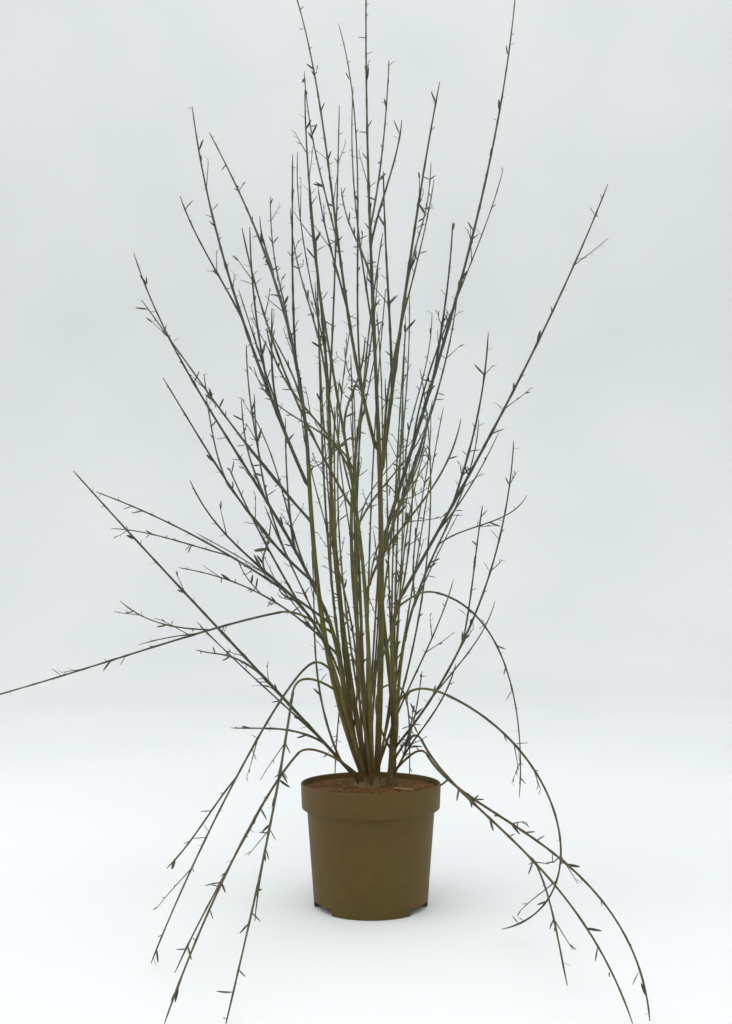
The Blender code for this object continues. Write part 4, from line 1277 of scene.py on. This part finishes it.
def small_growth(wand, dice):
    """The small leaves and twigs of a wand's every joint, with the marks of the joints."""
    leaves, twigs, joints = [], [], []
    first_size, loss = FINE_SIZES
    mark = wand.length * LEAFLESS_FOOT * FINE_FOOT
    turn = dice.uniform(0, 2 * math.pi)
    while mark < wand.length * FINE_LAST:
        point, along, radius = wand.spot(mark / wand.length)
        side = side_way(along, turn)
        length = dice.uniform(*FINE_LEAF_LENGTH) * (first_size - loss * mark / wand.length)
        heading = slanted(along, side, FINE_LEAF_SPREAD, dice)
        if point.z + heading.z * length > FLOOR_CLEAR:
            leaves.append(Leaf(point + side * radius * 0.5, heading, along.cross(side), length, mark))
            joints.append(mark)
        if dice.random() < FINE_TWIG_CHANCE and mark < wand.length * TWIG_LAST:
            reach = dice.uniform(*FINE_TWIG_LENGTH)
            way = slanted(along, -side, FINE_TWIG_SPREAD, dice)
            if point.z + way.z * reach > FLOOR_CLEAR * 3:
                twigs.append(twig_route(point, along, way, reach, FINE_TWIG_THICK))
                leaves += twig_leaves(twigs[-1], dice)
        turn += GOLDEN_TURN
        mark += dice.uniform(*FINE_LEAF_STEP)
    return leaves, twigs, joints


# %% Grow a wand
TWIG_THICK = 0.0019
WAND_CORNERS = 12
WAND_STEP = 0.012
TWIG_CORNERS = 6
FINE_TWIG_STEP = 0.008
RIB = 0.07  # how far a rib stands out, as a share of the radius
PLUMP = 1.16  # the wands' thickness against that of the rule
LEAF_GROWTH = 1.18  # the larger leaves against those of the rule

leaf_objects, twig_tubes, wand_tubes = [], [], defaultdict(list)


def plumper(route):
    """The route of a wand, a little thicker than the plain solid's."""
    route.radii = [radius * PLUMP for radius in route.radii]
    return route


def grow(kind, wand, dice, widths, growth=1, parent=None, rule=((), ())):
    """Adds a wand with its twigs and leaves to what its piece is joined from."""
    leaves, twigs, joints = small_growth(wand, dice)
    rule_leaves, rule_twigs = rule
    leaves += rule_leaves
    joints += [leaf.mark for leaf in rule_leaves if leaf.mark]
    twigs += [twig_route(point, way, way, length, TWIG_THICK) for point, way, length in rule_twigs]
    fine = plumper(wand.finer(WAND_STEP))
    bare_length = fine.length
    if parent:
        fine = rooted(fine, parent)
    joints = [joint + fine.length - bare_length for joint in joints]
    tube = ribbed_tube(rounded(fine), WAND_CORNERS, RIB, swells=joints)
    wand_tubes[kind].append(new_object("wand", tube))
    for twig in twigs:
        twig_tubes.append(new_object("twig", ribbed_tube(twig.finer(FINE_TWIG_STEP), TWIG_CORNERS, 0.0)))
    for leaf in leaves:
        width = dice.uniform(*widths)
        length = leaf.length * (growth if leaf.length >= LEAF_LENGTH[0] else 1)
        leaf_objects.append(place_leaf(leaf, length, width, dice.randrange(len(leaf_meshes))))


# %% [markdown]
# ## The sprays
#
# Most sprays also have a thin side wand, which leaves the main one low down and runs up beside it. It
# goes no farther than the main wand's own reach, so the plant's outline stays that of the solids. The
# wands are joined into one piece for each side of the plant, which keeps the number of pieces small.

# %% A thin side wand
SIDE_START = (0.04, 0.30)  # where a side wand leaves its main one
SIDE_DRIFT = (0.025, 0.095)  # how far its tip is from the main one, as a share of the length
SIDE_THICK, SIDE_END = 0.62, 0.8  # its foot and tip against those of a main wand
SIDE_LEAN = 0.18
SIDE_BOW = (-0.02, 0.02)
REACH_RANGE = 0.25


def side_wand(main, dice, most):
    """A thin wand that leaves a main one low down and runs up beside it, for a share of its reach."""
    start = dice.uniform(*SIDE_START)
    end = dice.uniform(most - REACH_RANGE, most)
    point, along, radius = main.spot(start)
    goal, arriving, _ = main.spot(end)
    drift = side_way(arriving, dice.uniform(0, 2 * math.pi)) * dice.uniform(*SIDE_DRIFT)
    tip = goal + drift * main.length
    side = side_way(along, dice.uniform(0, 2 * math.pi))
    heading = (along + side * SIDE_LEAN).normalized()
    line = curve(point, heading, tip, arriving, dice.uniform(*SIDE_BOW))
    return Route(*line, 2 * radius * SIDE_THICK, WAND_END * SIDE_END, side)


def inside(tip):
    """Whether a point is inside the solids' box."""
    return all(low <= place <= high for low, place, high in zip(cad_box[0], tip, cad_box[1]))


# %% Dress the sprays
MIDDLE_REACH, OUTER_REACH = 0.90, 0.62  # how far up the main wand a side wand ends, at most
LEAF_WIDTHS = (0.18, 0.26)
FAMILIES = {"hang": "hanging_wands", "left": "left_wands", "right": "right_wands"}

members = defaultdict(list)
for spray in SPRAYS:
    dice = random.Random("finer " + spray.name)
    kind = FAMILIES.get(spray.name.split("_")[0], "middle_wands")
    members[kind].append(spray.name)
    group = wands[spray.name]
    main = group[0]
    sides = []
    if kind != "hanging_wands":
        side = side_wand(main, dice, MIDDLE_REACH if kind == "middle_wands" else OUTER_REACH)
        sides = [side] if inside(side.points[-1]) else []
    rules = dressed[spray.name] + [((), ())] * len(sides)
    for index, wand in enumerate(group + sides):
        parent = main if index else routes[spray.parent]
        grow(kind, wand, dice, LEAF_WIDTHS, LEAF_GROWTH, parent, rules[index])
print("leaves:", len(leaf_objects), "twigs:", len(twig_tubes))

# %% [markdown]
# ## The heart of the plant
#
# Young wands come up from the crown each year and cross the older ones, which makes the tangle in the
# middle. They could be in the table, but nothing depends on where each one is, so dice deal them.

# %% Thin wands from the crown
HEART_WANDS = 12
HEART_LEAF_WIDTHS = (0.17, 0.26)
HEART_THICK, HEART_END = 0.0034, 0.0016
HEART_SEAT, HEART_SINK = 0.6, 0.006  # share of the crown's radius, and how deep the feet are set
HEART_TURN = (-1.4, 1.4)  # from a foot's bearing to the way its wand grows, in radians
HEART_OUT, HEART_RISE = (0.04, 0.18), (0.30, 0.95)
HEART_LEAN, HEART_LAST_LEAN = (0.15, 0.45), (-0.1, 0.3)
HEART_BOW = (-0.05, 0.05)


def heart_wand(dice):
    """A thin young wand from the crown, which crosses the older ones on its way up."""
    bearing = dice.uniform(0, 2 * math.pi)
    turn = bearing + dice.uniform(*HEART_TURN)
    outwards, sideways = at_bearing(bearing), at_bearing(turn)
    foot = CROWN_PLACE + CROWN_LEAN + outwards * CROWN_RADIUS * HEART_SEAT - UP * HEART_SINK
    tip = foot + sideways * dice.uniform(*HEART_OUT) + UP * dice.uniform(*HEART_RISE)
    heading = (UP + outwards * dice.uniform(*HEART_LEAN)).normalized()
    arriving = (UP + sideways * dice.uniform(*HEART_LAST_LEAN)).normalized()
    line = curve(foot, heading, tip, arriving, dice.uniform(*HEART_BOW))
    return Route(*line, HEART_THICK, HEART_END, outwards)


dice = random.Random("heart")
for _ in range(HEART_WANDS):
    grow("heart_wands", heart_wand(dice), dice, HEART_LEAF_WIDTHS)
print("leaves with the heart's:", len(leaf_objects))

# %% Join each kind into its pieces
FINISHES = {
    "middle_wands": fresh_rind,
    "left_wands": thin_rind,
    "right_wands": thin_rind,
    "hanging_wands": thin_rind,
    "heart_wands": fresh_rind,
}
for kind, tubes in wand_tubes.items():
    piece = join_as(kind, tubes, FINISHES[kind])
    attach(piece, "root")
    if members[kind]:
        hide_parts(*members[kind])
    print(kind, "faces:", len(piece.data.polygons))
fine_twigs = join_as("fine_twigs", twig_tubes, thin_rind)
broom_leaves = join_as("broom_leaves", leaf_objects, leaf_green)
for piece in (fine_twigs, broom_leaves):
    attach(piece, "root")
    print(piece.name, "faces:", len(piece.data.polygons))

# %% [markdown]
# ## Floor
#
# The plant stands in the middle of a wide pale bowl, whose floor curves up into a wall all round. A
# straight backdrop would hide the horizon from one side only, and the plant from the other. The bowl is
# one outline spun round the plant.

# %% A pale bowl
FLOOR_RADIUS = 5.0
BEND_RADIUS = 4.0
BEND_STEPS = 16
WALL_TOP = 9.0
BOWL_STEPS = 96
FLOOR_DROP = 0.0005  # keeps the floor just under the pot

pale_matt, tree, shader = new_finish("pale_floor", 0.9)
drift = ramp(tree, grain(tree, 0.7, 1.0), ((0.30, (0.69, 0.705, 0.70)), (0.70, (0.73, 0.74, 0.73))))
tree.links.new(drift, shader.inputs["Base Color"])

outline = [(0, 0), (FLOOR_RADIUS, 0)]
for step in range(1, BEND_STEPS + 1):
    angle = math.pi / 2 * step / BEND_STEPS
    outline.append((FLOOR_RADIUS + BEND_RADIUS * math.sin(angle), BEND_RADIUS * (1 - math.cos(angle))))
outline.append((FLOOR_RADIUS + BEND_RADIUS, WALL_TOP))
bowl_bm = turned([(r, z - FLOOR_DROP) for r, z in outline], BOWL_STEPS)
pale_floor = new_object("pale_floor", bowl_bm, pale_matt)
pale_floor.data.shade_smooth()
print("bowl", (FLOOR_RADIUS + BEND_RADIUS) * 2, "m across")

# %% [markdown]
# ## Light
#
# Three large soft lights and a pale surround keep the shadows faint. A small bright lamp would draw hard
# shadows of every wand on the floor. The colours are shown as they are, without a film-like curve, which
# would dull the greens.

# %% Lights
AIM = Vector((0, 0, 0.8))
SURROUND = (0.95, 0.97, 1.0, 1)
SURROUND_STRENGTH = 1.55
LIGHTS = (  # name, place, aim, size, power and colour
    ("overhead", (-0.6, -1.6, 3.6), Vector((0, 0, 0.7)), (3.0, 2.4), 34, (1.0, 0.99, 0.97)),
    ("left_fill", (-3.0, -0.6, 1.6), AIM, (2.0, 2.4), 20, (1.0, 1.0, 1.0)),
    ("right_fill", (3.0, -1.2, 1.5), AIM, (2.0, 2.4), 14, (0.97, 0.99, 1.0)),
)

for name, place, aim, size, power, colour in LIGHTS:
    data = bpy.data.lights.new(name, "AREA")
    data.shape = "RECTANGLE"
    data.size, data.size_y = size
    data.energy = power
    data.color = colour
    light = bpy.data.objects.new(name, data)
    light.location = place
    light.visible_camera = False
    light.rotation_euler = (aim - Vector(place)).to_track_quat("-Z", "Y").to_euler()
    bpy.context.scene.collection.objects.link(light)
world = bpy.data.worlds.new("bright_surround")
world.use_nodes = True
background = world.node_tree.nodes["Background"]
background.inputs["Color"].default_value = SURROUND
background.inputs["Strength"].default_value = SURROUND_STRENGTH
bpy.context.scene.world = world
bpy.context.scene.view_settings.view_transform = "Standard"
print("lights:", len(LIGHTS))

# %% [markdown]
# ## The end
#
# The dressed plant must keep to the solids' box.

# %% The end
print("scene built")
